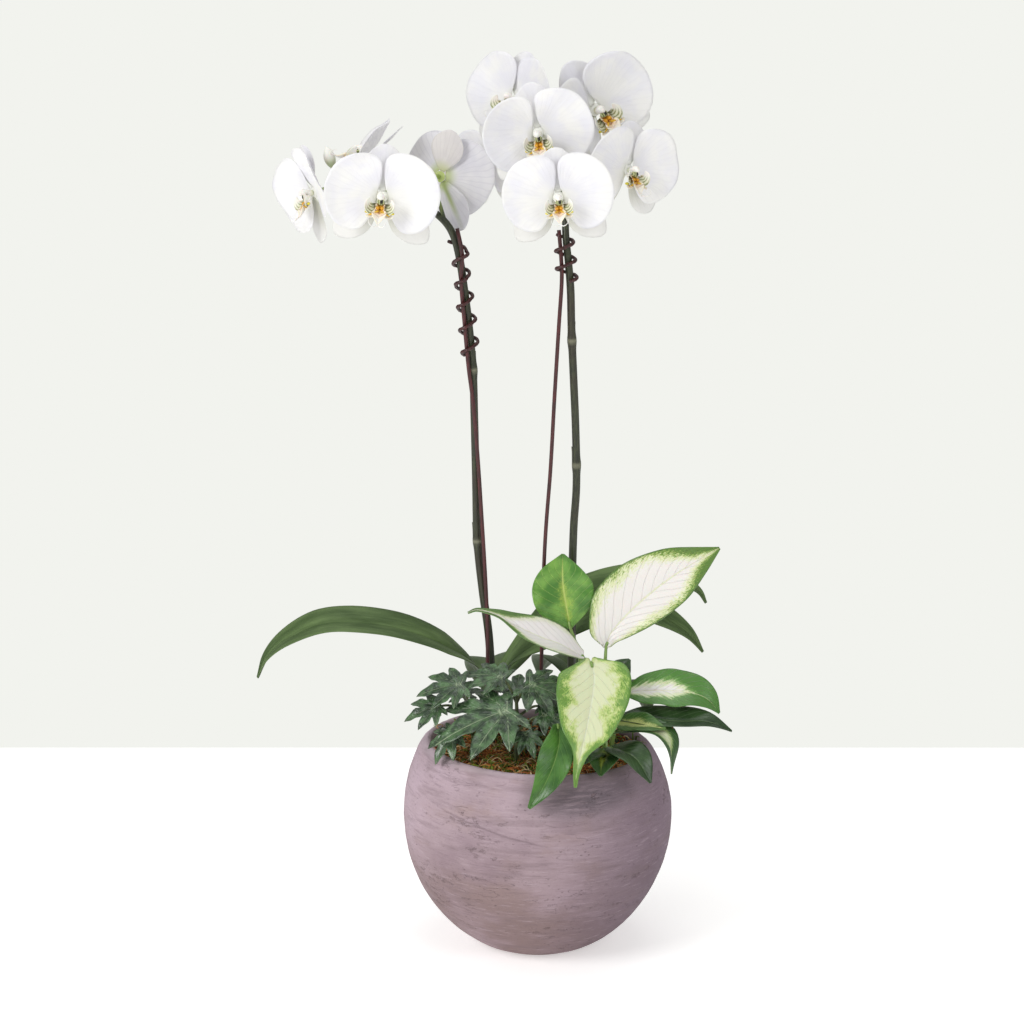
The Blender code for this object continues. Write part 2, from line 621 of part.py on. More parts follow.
ORCHID_LEAVES = [
    # name, midrib, face direction from base to tip, half widths, fold, curl
    ("orchid_leaf_left", [(-45.2, 39.1, 200), (-47, 38, 212), (-55, 32, 226), (-70, 24, 239), (-92, 16, 252),
                          (-120, 10, 262), (-152, 5, 267), (-178, 0, 266), (-203, -3, 255), (-219, -5, 241),
                          (-227, -6, 224)],
     [(0.6, 0.25, 0.5), (0, -0.38, 1), (0, -0.34, 1), (-0.4, -0.35, 0.8), (-1, -0.3, 0.2)],
     [5, 11, 16, 19, 20, 19.5, 17, 11, 2], 16, -10),
    ("orchid_leaf_right_long", [(-33.2, 48.2, 196), (-30, 51, 207), (-20, 59, 218), (-8, 66, 231), (6, 72, 246),
                                (26, 76, 264), (53, 78, 277), (86, 74, 287), (112, 66, 288), (132, 58, 281),
                                (140, 54, 271)],
     [(-0.5, -0.6, 0.6), (-0.3, -0.5, 0.8), (-0.1, -0.6, 0.8), (0.3, -0.5, 0.8), (0.6, -0.4, 0.6)],
     [5, 11, 15, 18, 18, 17, 14, 9, 1.5], 20, -12),
    ("orchid_leaf_left_back", [(-39, 50.4, 192), (-38, 62, 205), (-38, 84, 211), (-41, 108, 208), (-45, 130, 194),
                               (-48, 146, 172)],
     [(0, -0.5, 0.8), (0, 0, 1), (-0.2, 0.4, 0.8), (-0.2, 0.7, 0.5)], [5, 14, 20, 20, 15, 2], 16, -8),
    ("orchid_leaf_right", [(-30.2, 39.7, 204), (-28.5, 39, 213), (-23, 39, 222), (-12, 41, 232), (11, 43, 247),
                           (34, 46, 259), (57, 46, 268), (80, 43, 270), (102, 38, 263), (123, 32, 251),
                           (136, 28, 236)],
     [(-0.8, 0.2, 0.5), (-0.2, -0.6, 0.8), (0, -0.6, 0.8), (0.4, -0.6, 0.7), (0.7, -0.5, 0.4)],
     [4, 9, 13, 16, 17, 16, 14, 9, 1.5], 18, -10),
    ("orchid_leaf_right_back", [(47.5, 53.9, 180), (58, 68, 189), (70, 92, 192), (82, 114, 185), (92, 132, 169),
                                (97, 144, 149)],
     [(0, -0.4, 0.8), (0, 0, 1), (0.4, 0.5, 0.8), (0.5, 0.7, 0.5)], [4, 14, 20, 20, 14, 2], 16, -8),
    ("orchid_leaf_back", [(41.3, 54.2, 188), (34, 70, 204), (21, 92, 212), (10, 116, 206), (2, 134, 188)],
     [(0, -0.4, 0.8), (0, 0, 1), (-0.2, 0.5, 0.8), (-0.2, 0.8, 0.5)], [4, 14, 19, 15, 2], 16, -8),
]

CROWNS = [("orchid_crown_left", -38, 42, 216), ("orchid_crown_right", 44, 47, 204)]
CROWN_RADIUS = 6.6
CROWN_TOP_RADIUS = 3.5

VARIEGATED = [
    # name, stalk foot, stalk bends, midrib, face directions, half widths, fold, curl, wave
    ("variegated_leaf_upright", (41, 4), [(40, 6, 205), (34, 7, 238)],
     [(26, 5, 263.5), (23, 5, 280.5), (20, 6, 300.5), (20, 8, 323.5)],
     [(0.1, -1, 0.25), (0.05, -1, 0.3)], [[3, 20, 26.5, 26, 18, 1.2], [3, 18, 23.5, 24, 16, 1.2]], 10, 6, 1.0),
    ("variegated_leaf_large", (51, -6), [(52, -7, 205), (54, -9, 234)],
     [(55, -9, 251), (60, -7, 263), (82, 0, 285), (112, 8, 307), (147, 14, 327)],
     [(-0.15, -1, 0.35), (-0.1, -1, 0.5), (0.1, -1, 0.6)],
     [[9, 29, 33, 31, 24, 13, 1.2], [5, 15, 22, 24, 22, 13, 1.2]], 8, 4, 1.2),
    ("variegated_leaf_left", (34, -10), [(36, -12, 205), (38, -14, 232)],
     [(36, -17, 245), (32, -18, 247), (17, -23, 257), (1, -27, 264), (-21, -31, 276), (-34, -34, 284),
      (-48, -36, 288), (-56, -37, 286)],
     [(0.1, -0.4, 0.95), (0.1, -0.5, 0.9), (0.0, -0.4, 0.95)], [6, 17, 19, 16, 9, 4, 1.2], 14, 4, 0.8),
    ("variegated_leaf_front", (45, -20), [(46, -25, 200), (45, -35, 230)],
     [(42, -44, 247), (44, -58, 237), (41, -74, 221), (37, -90, 206), (32, -103, 189), (29, -109, 178),
      (28, -112, 166)],
     [(0.05, -0.8, 0.8), (0, -1, 0.6), (-0.05, -1, 0.3)], [17, 28, 30, 28.5, 24.5, 18.6, 7, 3.2, 1.2], 10, 6, 1.0),
    ("variegated_leaf_right", (60, -16), [(63, -20, 195), (66, -26, 212)],
     [(69, -33, 219), (85, -37, 222), (105, -40, 223), (122, -43, 222), (135, -45, 217), (144, -46, 206)],
     [(0, -0.6, 0.85), (0, -0.65, 0.8), (0.4, -0.6, 0.7)], [4, 15, 18, 18, 12, 1.2], 12, 4, 1.2),
]

GREEN = [
    # name, stalk foot, stalk bends, midrib, face directions, half widths, fold, curl, wave
    ("green_leaf_front", (10, -60), [(10, -62, 184), (12, -67, 199)],
     [(15, -74, 205), (16, -86, 196), (12, -98, 182), (4, -109, 167), (-8, -115, 150)],
     [(0, -0.8, 0.8), (0, -1, 0.5), (0, -1, 0.35)], [4, 11, 14, 12, 7, 1.2], 14, 6, 0.8),
]

LEAFY_FOOT = (53, -51)
LEAFY_STEM = [(53, -51, 205), (54, -51, 224)]
LEAFY_LEAVES = [
    # midrib, face directions, half widths
    ([(61, -52, 203), (84, -55, 204), (112, -58, 203), (134, -59, 203), (153, -59, 195)],
     (0, -0.35, 1), [3, 13, 15, 11, 1.2]),
    ([(60, -56, 200), (72, -63, 202), (86, -69, 203), (100, -73, 201)], (0, -0.5, 1), [2.5, 11, 12, 8, 1.2]),
    ([(60, -57, 193), (81, -66, 200), (95, -72, 198), (103, -79, 188), (104, -85, 168)],
     [(0, -0.3, 1), (0, -0.3, 1), (0.7, -0.5, 0.5), (1, -0.3, 0)], [2, 9, 12, 12, 7, 1.2]),
    ([(56, -60, 182), (65, -80, 186), (77, -90, 181), (87, -98, 165)], [(0, -0.4, 1), (0.3, -0.6, 0.8)],
     [2.5, 12, 14, 10, 1.2]),
    ([(52, -59, 180), (51, -76, 180), (49, -88, 176), (48, -96, 170)], [(0, -0.4, 1), (0, -0.8, 0.6)],
     [3, 12, 14, 10, 1.2]),
    ([(50, -58, 176), (43, -71, 181), (35, -82, 180), (28, -89, 175)], [(0, -0.4, 1), (-0.2, -0.7, 0.7)],
     [3, 10, 12, 8, 1.2]),
    ([(59, -44, 222), (62, -38, 232), (67, -34, 240), (73, -30, 246)], (0, -0.7, 0.8), [2.5, 9, 11, 8, 1.2]),
]

LOBED = [
    # name, foot, stem bends, leaves: centre, tip direction, face direction, reach
    ("lobed_stem_front", (-18, -50), [(-18, -50, 180), (-19, -50, 200)],
     [((-25, -53, 210), (-0.93, -0.36, -0.1), (-0.05, -0.45, 0.9), 62),
      ((3, -51, 206), (0.9, -0.15, -0.15), (0.05, -0.5, 0.85), 32),
      ((-10, -62, 194), (0.3, -0.8, -0.5), (0.0, -0.6, 0.8), 23)]),
    ("lobed_stem_left", (-52, -24), [(-53, -26, 190), (-55, -27, 212)],
     [((-62, -30, 225), (-0.98, -0.1, 0.0), (-0.1, -0.5, 0.85), 37),
      ((-80, -36, 209), (-0.9, -0.1, -0.25), (-0.2, -0.5, 0.8), 30),
      ((-68, -52, 192), (-0.6, -0.55, -0.5), (-0.4, -0.6, 0.7), 29),
      ((-62, -8, 209), (-0.25, 0.9, 0.2), (0.0, -0.4, 0.9), 29)]),
    ("lobed_stem_back", (-16, -22), [(-17, -24, 200), (-18, -26, 218)],
     [((-29, -28, 230), (-0.8, 0.3, 0.1), (-0.05, -0.38, 0.93), 36),
      ((-7, -33, 226), (0.9, -0.35, -0.15), (0.05, -0.45, 0.9), 44),
      ((4, -26, 206), (0.9, -0.2, -0.1), (0.0, -0.4, 0.9), 26),
      ((-18, -6, 210), (0.1, 0.9, 0.2), (0.0, -0.4, 0.9), 33)]),
]
LOBES = [(0, 1.0), (35, 0.86), (-35, 0.86), (71, 0.66), (-71, 0.66), (112, 0.45), (-112, 0.45)]
LOBE_SPREAD = 15.0
SINUS_SHARE = 0.5


def stem_path(foot, bends, end):
    """Path of a stalk that stands upright in its hole."""
    return rooted([(*foot, STEM_FOOT), (*foot, STEM_STRAIGHT_TOP)] + list(bends) + [end], 7)


def stalk(name, foot, bends, end, radius, sides=6):
    """Leaf stalk or stem, a little thinner at its end."""
    return tube(name, stem_path(foot, bends, end), [radius, radius, radius * 0.85], sides)


def leaf_with_stalk(name, foot, bends, rib, face, widths, fold, curl, wave, colour, radius=LEAF_STALK_RADIUS):
    """Leaf blade on its own stalk, which enters the blade a little way along the midrib."""
    grid = blade_grid(rib, face, widths, 9, 2, fold, curl, wave)
    blade = thick_grid(name, grid, LEAF_THICK)
    inward = np.asarray(rib[0], dtype=float) * 0.72 + np.asarray(rib[1], dtype=float) * 0.28
    support = stalk(name, foot, list(bends) + [rib[0]], inward, radius)
    return finish(boolean(support, [blade], "UNION"), colour, 0.45, name)


def palmate(name, centre, heading, face, reach):
    """Lobed leaf: narrow lobes from one point, drooping to their tips."""
    normal = unit(face)
    ahead = np.asarray(heading, dtype=float)
    ahead = unit(ahead - np.dot(ahead, normal) * normal)
    side = np.cross(ahead, normal)
    order = sorted(LOBES, key=lambda lobe: lobe[0])
    outline = []
    for index, (angle, share) in enumerate(order):
        before = order[index - 1][0] if index else order[-1][0] - 360
        gap = math.radians((angle + before) / 2)
        inner = SINUS_SHARE * (share + LOBES[0][1]) / 2 if index else 0.08
        outline.append((math.sin(gap) * reach * inner, math.cos(gap) * reach * inner))
        for offset, length in ((-LOBE_SPREAD, 0.64), (0, 1.0), (LOBE_SPREAD, 0.64)):
            turn = math.radians(angle + offset)
            outline.append((math.sin(turn) * reach * share * length, math.cos(turn) * reach * share * length))
    centre = np.asarray(centre, dtype=float)

    def height(x, y):
        away = math.hypot(x, y) / reach
        return (x, y, 2.0 * away - 10.0 * away ** 2 * reach / 40.0)

    top, under = patch_rings(outline, height, THIN_LEAF_THICK, 1, (0, 0.10 * reach))
    verts = [centre + p[0] * side + p[1] * ahead + p[2] * normal for p in top + under]
    return solid(name, verts, patch_faces(len(outline), 1, len(top), 0))


def build_plants():
    holes = []
    for name, x, y, top in CROWNS:
        path = [(x, y, STEM_FOOT), (x, y, 170), (x, y, top - 6), (x, y, top)]
        radii = [CROWN_RADIUS, CROWN_RADIUS, CROWN_RADIUS, CROWN_TOP_RADIUS]
        finish(tube(name, path, radii, 9), (0.14, 0.2, 0.08), 0.6)
        holes.append((x, y, CROWN_RADIUS))
    for name, rib, face, widths, fold, curl in ORCHID_LEAVES:
        grid = blade_grid(rib, face, widths, 9, 2, fold, curl, 0.0)
        finish(thick_grid(name, grid, ORCHID_LEAF_THICK), (0.10, 0.17, 0.07), 0.4)
    for name, foot, bends, rib, face, widths, fold, curl, wave in VARIEGATED:
        leaf_with_stalk(name, foot, bends, rib, face, widths, fold, curl, wave, (0.6, 0.7, 0.35))
        holes.append((*foot, LEAF_STALK_RADIUS))
    for name, foot, bends, rib, face, widths, fold, curl, wave in GREEN:
        leaf_with_stalk(name, foot, bends, rib, face, widths, fold, curl, wave, (0.06, 0.20, 0.03),
                        GREEN_STALK_RADIUS)
        holes.append((*foot, GREEN_STALK_RADIUS))

    main = stalk("leafy_stem_right", LEAFY_FOOT, LEAFY_STEM[:1], LEAFY_STEM[1], LEAFY_STEM_RADIUS)
    bodies = []
    for rib, face, widths in LEAFY_LEAVES:
        bodies.append(thick_grid("leaf", blade_grid(rib, face, widths, 5, 1, 14, 6, 0.0), THIN_LEAF_THICK))
        start = np.array([LEAFY_FOOT[0], LEAFY_FOOT[1], rib[0][2] - 6.0])
        inward = np.asarray(rib[0]) * 0.7 + np.asarray(rib[1]) * 0.3
        bodies.append(tube("stalk", [start, rib[0], inward], [1.3, 1.2, 1.0], 5))
    finish(boolean(main, bodies, "UNION"), (0.05, 0.15, 0.03), 0.45, "leafy_stem_right")
    holes.append((*LEAFY_FOOT, LEAFY_STEM_RADIUS))

    for name, foot, bends, leaves in LOBED:
        main = stalk(name, foot, bends[:1], bends[1], LOBED_STALK_RADIUS)
        path = stem_path(foot, bends[:1], bends[1])
        bodies = []
        for centre, heading, face, reach in leaves:
            bodies.append(palmate("leaf", centre, heading, face, reach))
            start = at_height(path, min(centre[2], bends[1][2]) - 10.0)
            middle = start * 0.4 + np.asarray(centre) * 0.6 + np.array([0, 0, 3.0])
            end = np.asarray(centre) + unit(heading) * 1.5
            bodies.append(tube("stalk", smooth_curve([start, middle, end], 4), [1.2, 1.1, 1.0, 1.0], 5))
        finish(boolean(main, bodies, "UNION"), (0.03, 0.09, 0.05), 0.4, name)
        holes.append((*foot, LOBED_STALK_RADIUS))
    return holes


def build_orchids():
    ends = {"left": [], "right": []}
    for name, hub, azimuth, rise, roll, size, cups, from_tip in FLOWERS:
        end, direction = flower(name, hub, azimuth, rise, roll, size, cups)
        ends["left" if "left" in name else "right"].append((from_tip, end, direction))
    base = np.array(BUD_BASE, dtype=float)
    bud_axis = np.array([-0.3, 0.05, 1.0])
    heights = (0.0, 0.12, 0.35, 0.65, 0.88, 1.0)
    swell = (0.35, 0.75, 1.0, 0.9, 0.5, 0.12)
    bud = tube("flower_bud_left", [base + bud_axis * BUD_LENGTH * h for h in heights],
               [BUD_RADIUS * w for w in swell], 8)
    finish(bud, (0.75, 0.78, 0.55), 0.5)
    ends["left"].append((0, base - bud_axis * PART_GAP, -unit(bud_axis)))
    left = rooted(LEFT_SPIKE, SPIKE_PLACES)
    right = rooted(RIGHT_SPIKE, SPIKE_PLACES)
    build_spike("orchid_spike_left", left, (474, 333), ends["left"])
    build_spike("orchid_spike_right", right, (498, 395), ends["right"])
    left_stake = stake_path(LEFT_STAKE_FOOT, LEFT_STAKE_BESIDE, left)
    right_stake = stake_path(RIGHT_STAKE_FOOT, RIGHT_STAKE_BESIDE, right)
    finish(tube("stake_left", left_stake, [STAKE_RADIUS] * len(left_stake), 6), (0.16, 0.03, 0.03), 0.4)
    finish(tube("stake_right", right_stake, [STAKE_RADIUS] * len(right_stake), 6), (0.16, 0.03, 0.03), 0.4)
    build_tie("tie_left", left, left_stake, 577, 486, 5.0)
    build_tie("tie_right", right, right_stake, 582, 546, 2.6)
    return [(LEFT_SPIKE[0][0], LEFT_SPIKE[0][1], SPIKE_FOOT_RADIUS),
            (RIGHT_SPIKE[0][0], RIGHT_SPIKE[0][1], SPIKE_FOOT_RADIUS),
            (left_stake[0][0], left_stake[0][1], STAKE_RADIUS),
            (right_stake[0][0], right_stake[0][1], STAKE_RADIUS)]


build_pot()
all_holes = build_plants() + build_orchids()
build_filling(all_holes)
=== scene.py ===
"""Looks of the potted orchid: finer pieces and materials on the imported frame.

Lengths are millimetres until a mesh is made. X points right, Y away from the viewer, Z up.
"""
import math
import random

import bmesh
import bpy
import numpy as np
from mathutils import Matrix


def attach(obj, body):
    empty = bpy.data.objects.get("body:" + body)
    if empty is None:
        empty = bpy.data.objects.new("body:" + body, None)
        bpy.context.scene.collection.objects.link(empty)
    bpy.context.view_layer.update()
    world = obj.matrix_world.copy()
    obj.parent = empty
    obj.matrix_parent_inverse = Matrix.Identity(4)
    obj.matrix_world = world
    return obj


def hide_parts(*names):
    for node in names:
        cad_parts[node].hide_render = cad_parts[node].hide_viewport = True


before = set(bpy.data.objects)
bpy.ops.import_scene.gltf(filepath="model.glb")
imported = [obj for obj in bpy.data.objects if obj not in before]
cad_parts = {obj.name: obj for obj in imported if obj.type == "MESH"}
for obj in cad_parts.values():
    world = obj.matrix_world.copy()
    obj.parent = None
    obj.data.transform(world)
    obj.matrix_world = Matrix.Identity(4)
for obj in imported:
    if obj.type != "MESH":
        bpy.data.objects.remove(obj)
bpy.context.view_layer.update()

MM = 0.001

# Places and outer sizes are those of the part; edges, outlines and surfaces are finer here.

# Pot
POT_RADIUS = 110.0
POT_WIDEST_Z = 109.0
POT_LOWER_HALF = 119.0
POT_UPPER_HALF = 110.0
POT_RIM_Z = 167.0
POT_FLOOR = 11.0
POT_WALL = 9.0
INNER_LOWER_HALF = 108.0
INNER_UPPER_HALF = 100.0
RIM_SLOPE = -0.038
POT_SEGMENTS = 180
# Foot edge: distance past the foot's radius, and height
FOOT_EDGE = [(-1.6, 0.0), (-0.9, 0.15), (-0.2, 0.7), (0.3, 1.6)]
# Rounded rim: radius and height
RIM_EDGE = [(92.3, 167.1), (91.3, 168.1), (90.0, 168.7), (88.7, 168.7), (87.4, 168.1), (86.4, 167.0),
            (85.8, 165.4)]
RIM_TOP = 168.0
DENTS = 0.45
TURNING_RINGS = 0.16
RIM_WEAR = 0.35
MOST_BULGE = 0.5
OUTER_WALL = (4.0, 165.2)
INNER_WALL = (163.0, 20.0)

# Moss and its fibres
MOSS_BOTTOM = 149.4
MOSS_THICK = 12.0
MOSS_RELIEF = 3.5
MOSS_RADIUS = 86.0
MOSS_FALL = 5.5
MOSS_RINGS = 46
MOSS_SEGMENTS = 150
FIBRE_COUNT = 2500
RIM_FIBRES = 34
FIBRE_STEPS = 8
FIBRE_SPREAD = 83.0
FIBRE_REACH = 85.5
RIM_FIBRE_REACH = 90.0
RIM_FIBRE_LEVEL = 169.6

# Stems, stakes and ties
STEM_FOOT = 121.0
STEM_STRAIGHT_TOP = 172.0
SPIKE_RADIUS = 3.1
SPIKE_FOOT_RADIUS = 3.6
SPIKE_TAPER_FROM = 0.76
SPIKE_TAPER = 1.0
NODE_SWELLING = 0.7
STALK_RADIUS = 1.5
STAKE_RADIUS = 1.6
CROWN_RADIUS = 6.6
TIE_WIRE = 1.45
TIE_GAP = 0.45
TIE_START = 2.6
TIE_SLACK = 0.25
TIE_ROUND_SPIKE = 0.62
TIE_CORNERS = 10
TIE_FINER = 5
# Ties: top, bottom and turns
LEFT_TIE = (577, 486, 5.0)
RIGHT_TIE = (582, 546, 2.6)
# Heights of the ringed nodes
LEFT_SPIKE_NODES = (474, 333)
RIGHT_SPIKE_NODES = (498, 395)
SPIKE_STEPS = 240
SPIKE_SIDES = 16
STALK_SIDES = 10

# Flower, sizes for scale 1, and the bud
HUB_RADIUS = 4.6
HUB_BACK = -3.0
HUB_FRONT = 1.1
HUB_MIDDLE = -0.9
PETAL_LIFT = 1.6
SEPAL_LIFT = -1.5
SEPAL_BEND = -0.004
PETAL_RIPPLE = 1.9
SEPAL_RIPPLE = 0.8
FINE_PETAL_THICK = 0.55
PART_GAP = 0.4
LATERAL_ANGLE = -44.0
BUD_BASE = (-162, 22, 632)
BUD_AXIS = (-0.3, 0.05, 1.0)
BUD_LENGTH = 17.0
BUD_RADIUS = 4.6

# Lobed leaves: degrees, and shares of the leaf's reach
LOBE_SPREAD = 15.0
LOBE_SHOULDER = 6.0
SINUS_SHARE = 0.5
BASE_SINUS = 0.08

# Camera, in metres, with the focal length in pixels of the picture
CAMERA_PLACE = (-0.021, -1.957, 0.783)
CAMERA_PITCH = 12.2
FOCAL_PIXELS = 2500.0
PICTURE_PIXELS = 1024.0
SENSOR = 36.0

# Floor and light, in metres and watts
FLOOR_BACK = 0.513
FLOOR_SIZE = 40.0
FLOOR_GLOW = 0.45
BACKDROP = "f2f3ee"
WORLD_LIGHT = 0.42
LIGHTS = [
    # name, place, target, diameter, power
    ("key", (-1.6, -1.5, 1.5), (0.0, 0.0, 0.3), 1.1, 27.0),
    ("front", (0.9, -1.5, 1.35), (0.0, 0.0, 0.62), 0.8, 5.5),
    ("top", (0.1, 0.2, 2.0), (0.0, 0.0, 0.5), 1.4, 8.0),
]


# Curves and small helpers

def vec(values):
    return np.asarray(values, dtype=float)


def unit(vector):
    """Vector of length one."""
    return vec(vector) / max(np.linalg.norm(vector), 1e-9)


def run_length(path):
    """Length of a path up to each of its points."""
    return np.concatenate([[0.0], np.cumsum(np.linalg.norm(np.diff(path, axis=0), axis=1))])


def smooth_curve(points, where):
    """Points at shares of the length along a smooth curve through the given ones."""
    pts = vec(points)
    ends = np.vstack([2 * pts[0] - pts[1], pts, 2 * pts[-1] - pts[-2]])
    fine = []
    for i in range(1, len(ends) - 2):
        a, b, c, d = ends[i - 1:i + 3]
        for k in range(12):
            t = k / 12.0
            fine.append(0.5 * (2 * b + (c - a) * t + (2 * a - 5 * b + 4 * c - d) * t ** 2
                               + (3 * b - a - 3 * c + d) * t ** 3))
    fine = np.array(fine + [pts[-1]])
    length = run_length(fine)
    wanted = np.linspace(0.0, 1.0, where) if np.isscalar(where) else vec(where)
    return np.array([np.interp(wanted * length[-1], length, fine[:, axis]) for axis in range(3)]).T


def spread(values, where):
    """Straight-line values of a short list, or of a list of rows, at places between 0 and 1."""
    values = vec(values)
    at = np.linspace(0.0, 1.0, len(values))
    if values.ndim == 1:
        return np.interp(where, at, values)
    return np.array([np.interp(where, at, column) for column in values.T]).T


def smooth_profile(values, where):
    """Smooth curve through evenly spaced values."""
    fine = smooth_curve([(i / (len(values) - 1), v, 0.0) for i, v in enumerate(values)], 120)
    return np.interp(where, fine[:, 0], fine[:, 1])


def bezier(control, count):
    """Points on a cubic curve."""
    a, b, c, d = (vec(p) for p in control)
    t = np.linspace(0, 1, count)[:, None]
    return a * (1 - t) ** 3 + 3 * b * t * (1 - t) ** 2 + 3 * c * t * t * (1 - t) + d * t ** 3


def circle(count):
    """Cosine and sine of evenly spaced angles."""
    return [(math.cos(2 * math.pi * k / count), math.sin(2 * math.pi * k / count)) for k in range(count)]


def at_height(path, z):
    """Point of a rising path at a height."""
    for a, b in zip(path[:-1], path[1:]):
        if a[2] <= z <= b[2]:
            return a + (b - a) * (z - a[2]) / max(b[2] - a[2], 1e-6)
    return path[-1]


def rooted(points, count):
    """Stem path: upright through its hole, then a smooth curve."""
    return np.vstack([points[0], smooth_curve(points[1:], count)])


def stem_path(foot, bends, end):
    """Stalk that stands upright in its hole and then bends to its end."""
    return rooted([(*foot, STEM_FOOT), (*foot, STEM_STRAIGHT_TOP), *bends, end], 40)


class Waves:
    """Soft repeatable unevenness in space: a sum of sines with seeded directions."""

    def __init__(self, seed, size, count=7):
        chance = random.Random(seed)
        self.rays = np.array([unit([chance.gauss(0, 1) for _ in range(3)]) for _ in range(count)])
        self.rays *= 2 * math.pi / size * np.array([[chance.uniform(0.6, 1.7)] for _ in range(count)])
        self.shifts = np.array([chance.uniform(0, 2 * math.pi) for _ in range(count)])

    def __call__(self, points):
        return np.mean(np.sin(vec(points) @ self.rays.T + self.shifts), axis=-1) * 1.6


# Shapes: each one is its points, its faces and a painted spot for every point

class Body:
    """Collects shapes, with the values painted on them, for one piece."""

    def __init__(self, place=vec):
        self.place = place
        self.points = []
        self.faces = []
        self.looks = []
        self.spots = []
        self.tones = []

    def add(self, shape, look=0, tone=(0.0, 0.0, 0.0), spots=None):
        """Adds a shape in one look. tone and spots hold one value for the shape or one for each point."""
        points, faces, own_spots = shape
        first = len(self.points)
        self.points += [tuple(p) for p in self.place(points)]
        self.faces += [tuple(first + k for k in face) for face in faces]
        self.looks += [look] * len(faces)
        everywhere = np.ones((len(points), 1))
        self.spots.append(everywhere * vec(own_spots if spots is None else spots))
        self.tones.append(everywhere * vec(tone))

    def make(self, name, looks, replaces=()):
        """Mesh piece in metres that rides on the body and stands for some nodes."""
        mesh = bpy.data.meshes.new(name)
        mesh.from_pydata([tuple(c * MM for c in p) for p in self.points], [], self.faces)
        mesh.polygons.foreach_set("material_index", self.looks)
        for title, rows in (("spot", self.spots), ("tone", self.tones)):
            layer = mesh.attributes.new(title, "FLOAT_VECTOR", "POINT")
            layer.data.foreach_set("vector", np.vstack(rows).astype(np.float32).ravel())
        work = bmesh.new()
        work.from_mesh(mesh)
        bmesh.ops.recalc_face_normals(work, faces=work.faces)
        work.to_mesh(mesh)
        work.free()
        mesh.polygons.foreach_set("use_smooth", [True] * len(mesh.polygons))
        for look in looks:
            mesh.materials.append(look)
        made = bpy.data.objects.new(name, mesh)
        bpy.context.scene.collection.objects.link(made)
        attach(made, "root")
        if replaces:
            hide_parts(*replaces)


def ring_faces(rows, sides):
    """Faces of stacked rings of points, closed at both ends."""
    faces = [tuple(range(sides))[::-1], tuple((rows - 1) * sides + k for k in range(sides))]
    for i in range(rows - 1):
        for k in range(sides):
            a = i * sides + k
            b = i * sides + (k + 1) % sides
            faces.append((a, b, b + sides, a + sides))
    return faces


def tube_shape(path, radii, sides, swell=None):
    """Round stem. Spot: turn around, share along, millimetres along."""
    path = vec(path)
    rows = len(path)
    radius = vec(radii) if len(radii) == rows else spread(radii, np.linspace(0, 1, rows))
    tangents = np.gradient(path, axis=0)
    across = unit(np.cross(tangents[0], (0.31, 0.95, 0.02)))
    verts = []
    spots = []
    for i, length in enumerate(run_length(path)):
        tangent = unit(tangents[i])
        across = unit(across - np.dot(across, tangent) * tangent)
        other = np.cross(tangent, across)
        for k, (c, s) in enumerate(circle(sides)):
            r = radius[i] * (swell(2 * math.pi * k / sides, i / (rows - 1)) if swell else 1.0)
            verts.append(path[i] + r * (c * across + s * other))
            spots.append((c, i / (rows - 1), length))
    return verts, ring_faces(rows, sides), spots


def ball_shape(centre, radii, rows, sides):
    """Small rounded lump. Spot: the place."""
    verts = []
    for i in range(1, rows):
        polar = math.pi * i / rows
        for c, s in circle(sides):
            direction = (math.sin(polar) * c, math.sin(polar) * s, math.cos(polar))
            verts.append(vec(centre) + vec(radii) * direction)
    return verts, ring_faces(rows - 1, sides), np.array(verts)


def two_sided(spots):
    """Spots for the upper and the lower face of a sheet: two values, and 1 above or -1 below."""
    ones = np.ones((len(spots), 1))
    return np.vstack([np.hstack([spots, ones]), np.hstack([spots, -ones])])


def sheet_shape(blade, thickness, taper=0.6, scale=(1.0, 1.0), shift=(0.0, 0.0)):
    """Closed sheet on a blade, thinner to its sides. Spot: across and along, scaled and shifted, then side.

    The upper face looks against the cross product of the grid's two directions.
    """
    grid, spots = blade
    rows, cols = grid.shape[:2]
    normal = -np.cross(np.gradient(grid, axis=0), np.gradient(grid, axis=1))
    normal /= np.maximum(np.linalg.norm(normal, axis=2, keepdims=True), 1e-9)
    edge = np.abs(np.linspace(-1, 1, cols))[None, :, None] ** 4
    half = thickness / 2 * (1 - taper * edge)
    points = np.vstack([(grid + normal * half).reshape(-1, 3), (grid - normal * half).reshape(-1, 3)])
    low = rows * cols
    faces = []
    for i in range(rows - 1):
        for j in range(cols - 1):
            a = i * cols + j
            b, c, d = a + 1, a + cols + 1, a + cols
            faces += [(a, b, c, d), (low + d, low + c, low + b, low + a)]
    ring = list(range(cols)) + [i * cols + cols - 1 for i in range(1, rows)]
    ring += [(rows - 1) * cols + j for j in range(cols - 2, -1, -1)]
    ring += [i * cols for i in range(rows - 2, 0, -1)]
    for a, b in zip(ring, ring[1:] + ring[:1]):
        faces.append((a, low + a, low + b, b))
    return points, faces, two_sided((spots * scale + shift).reshape(-1, 2))


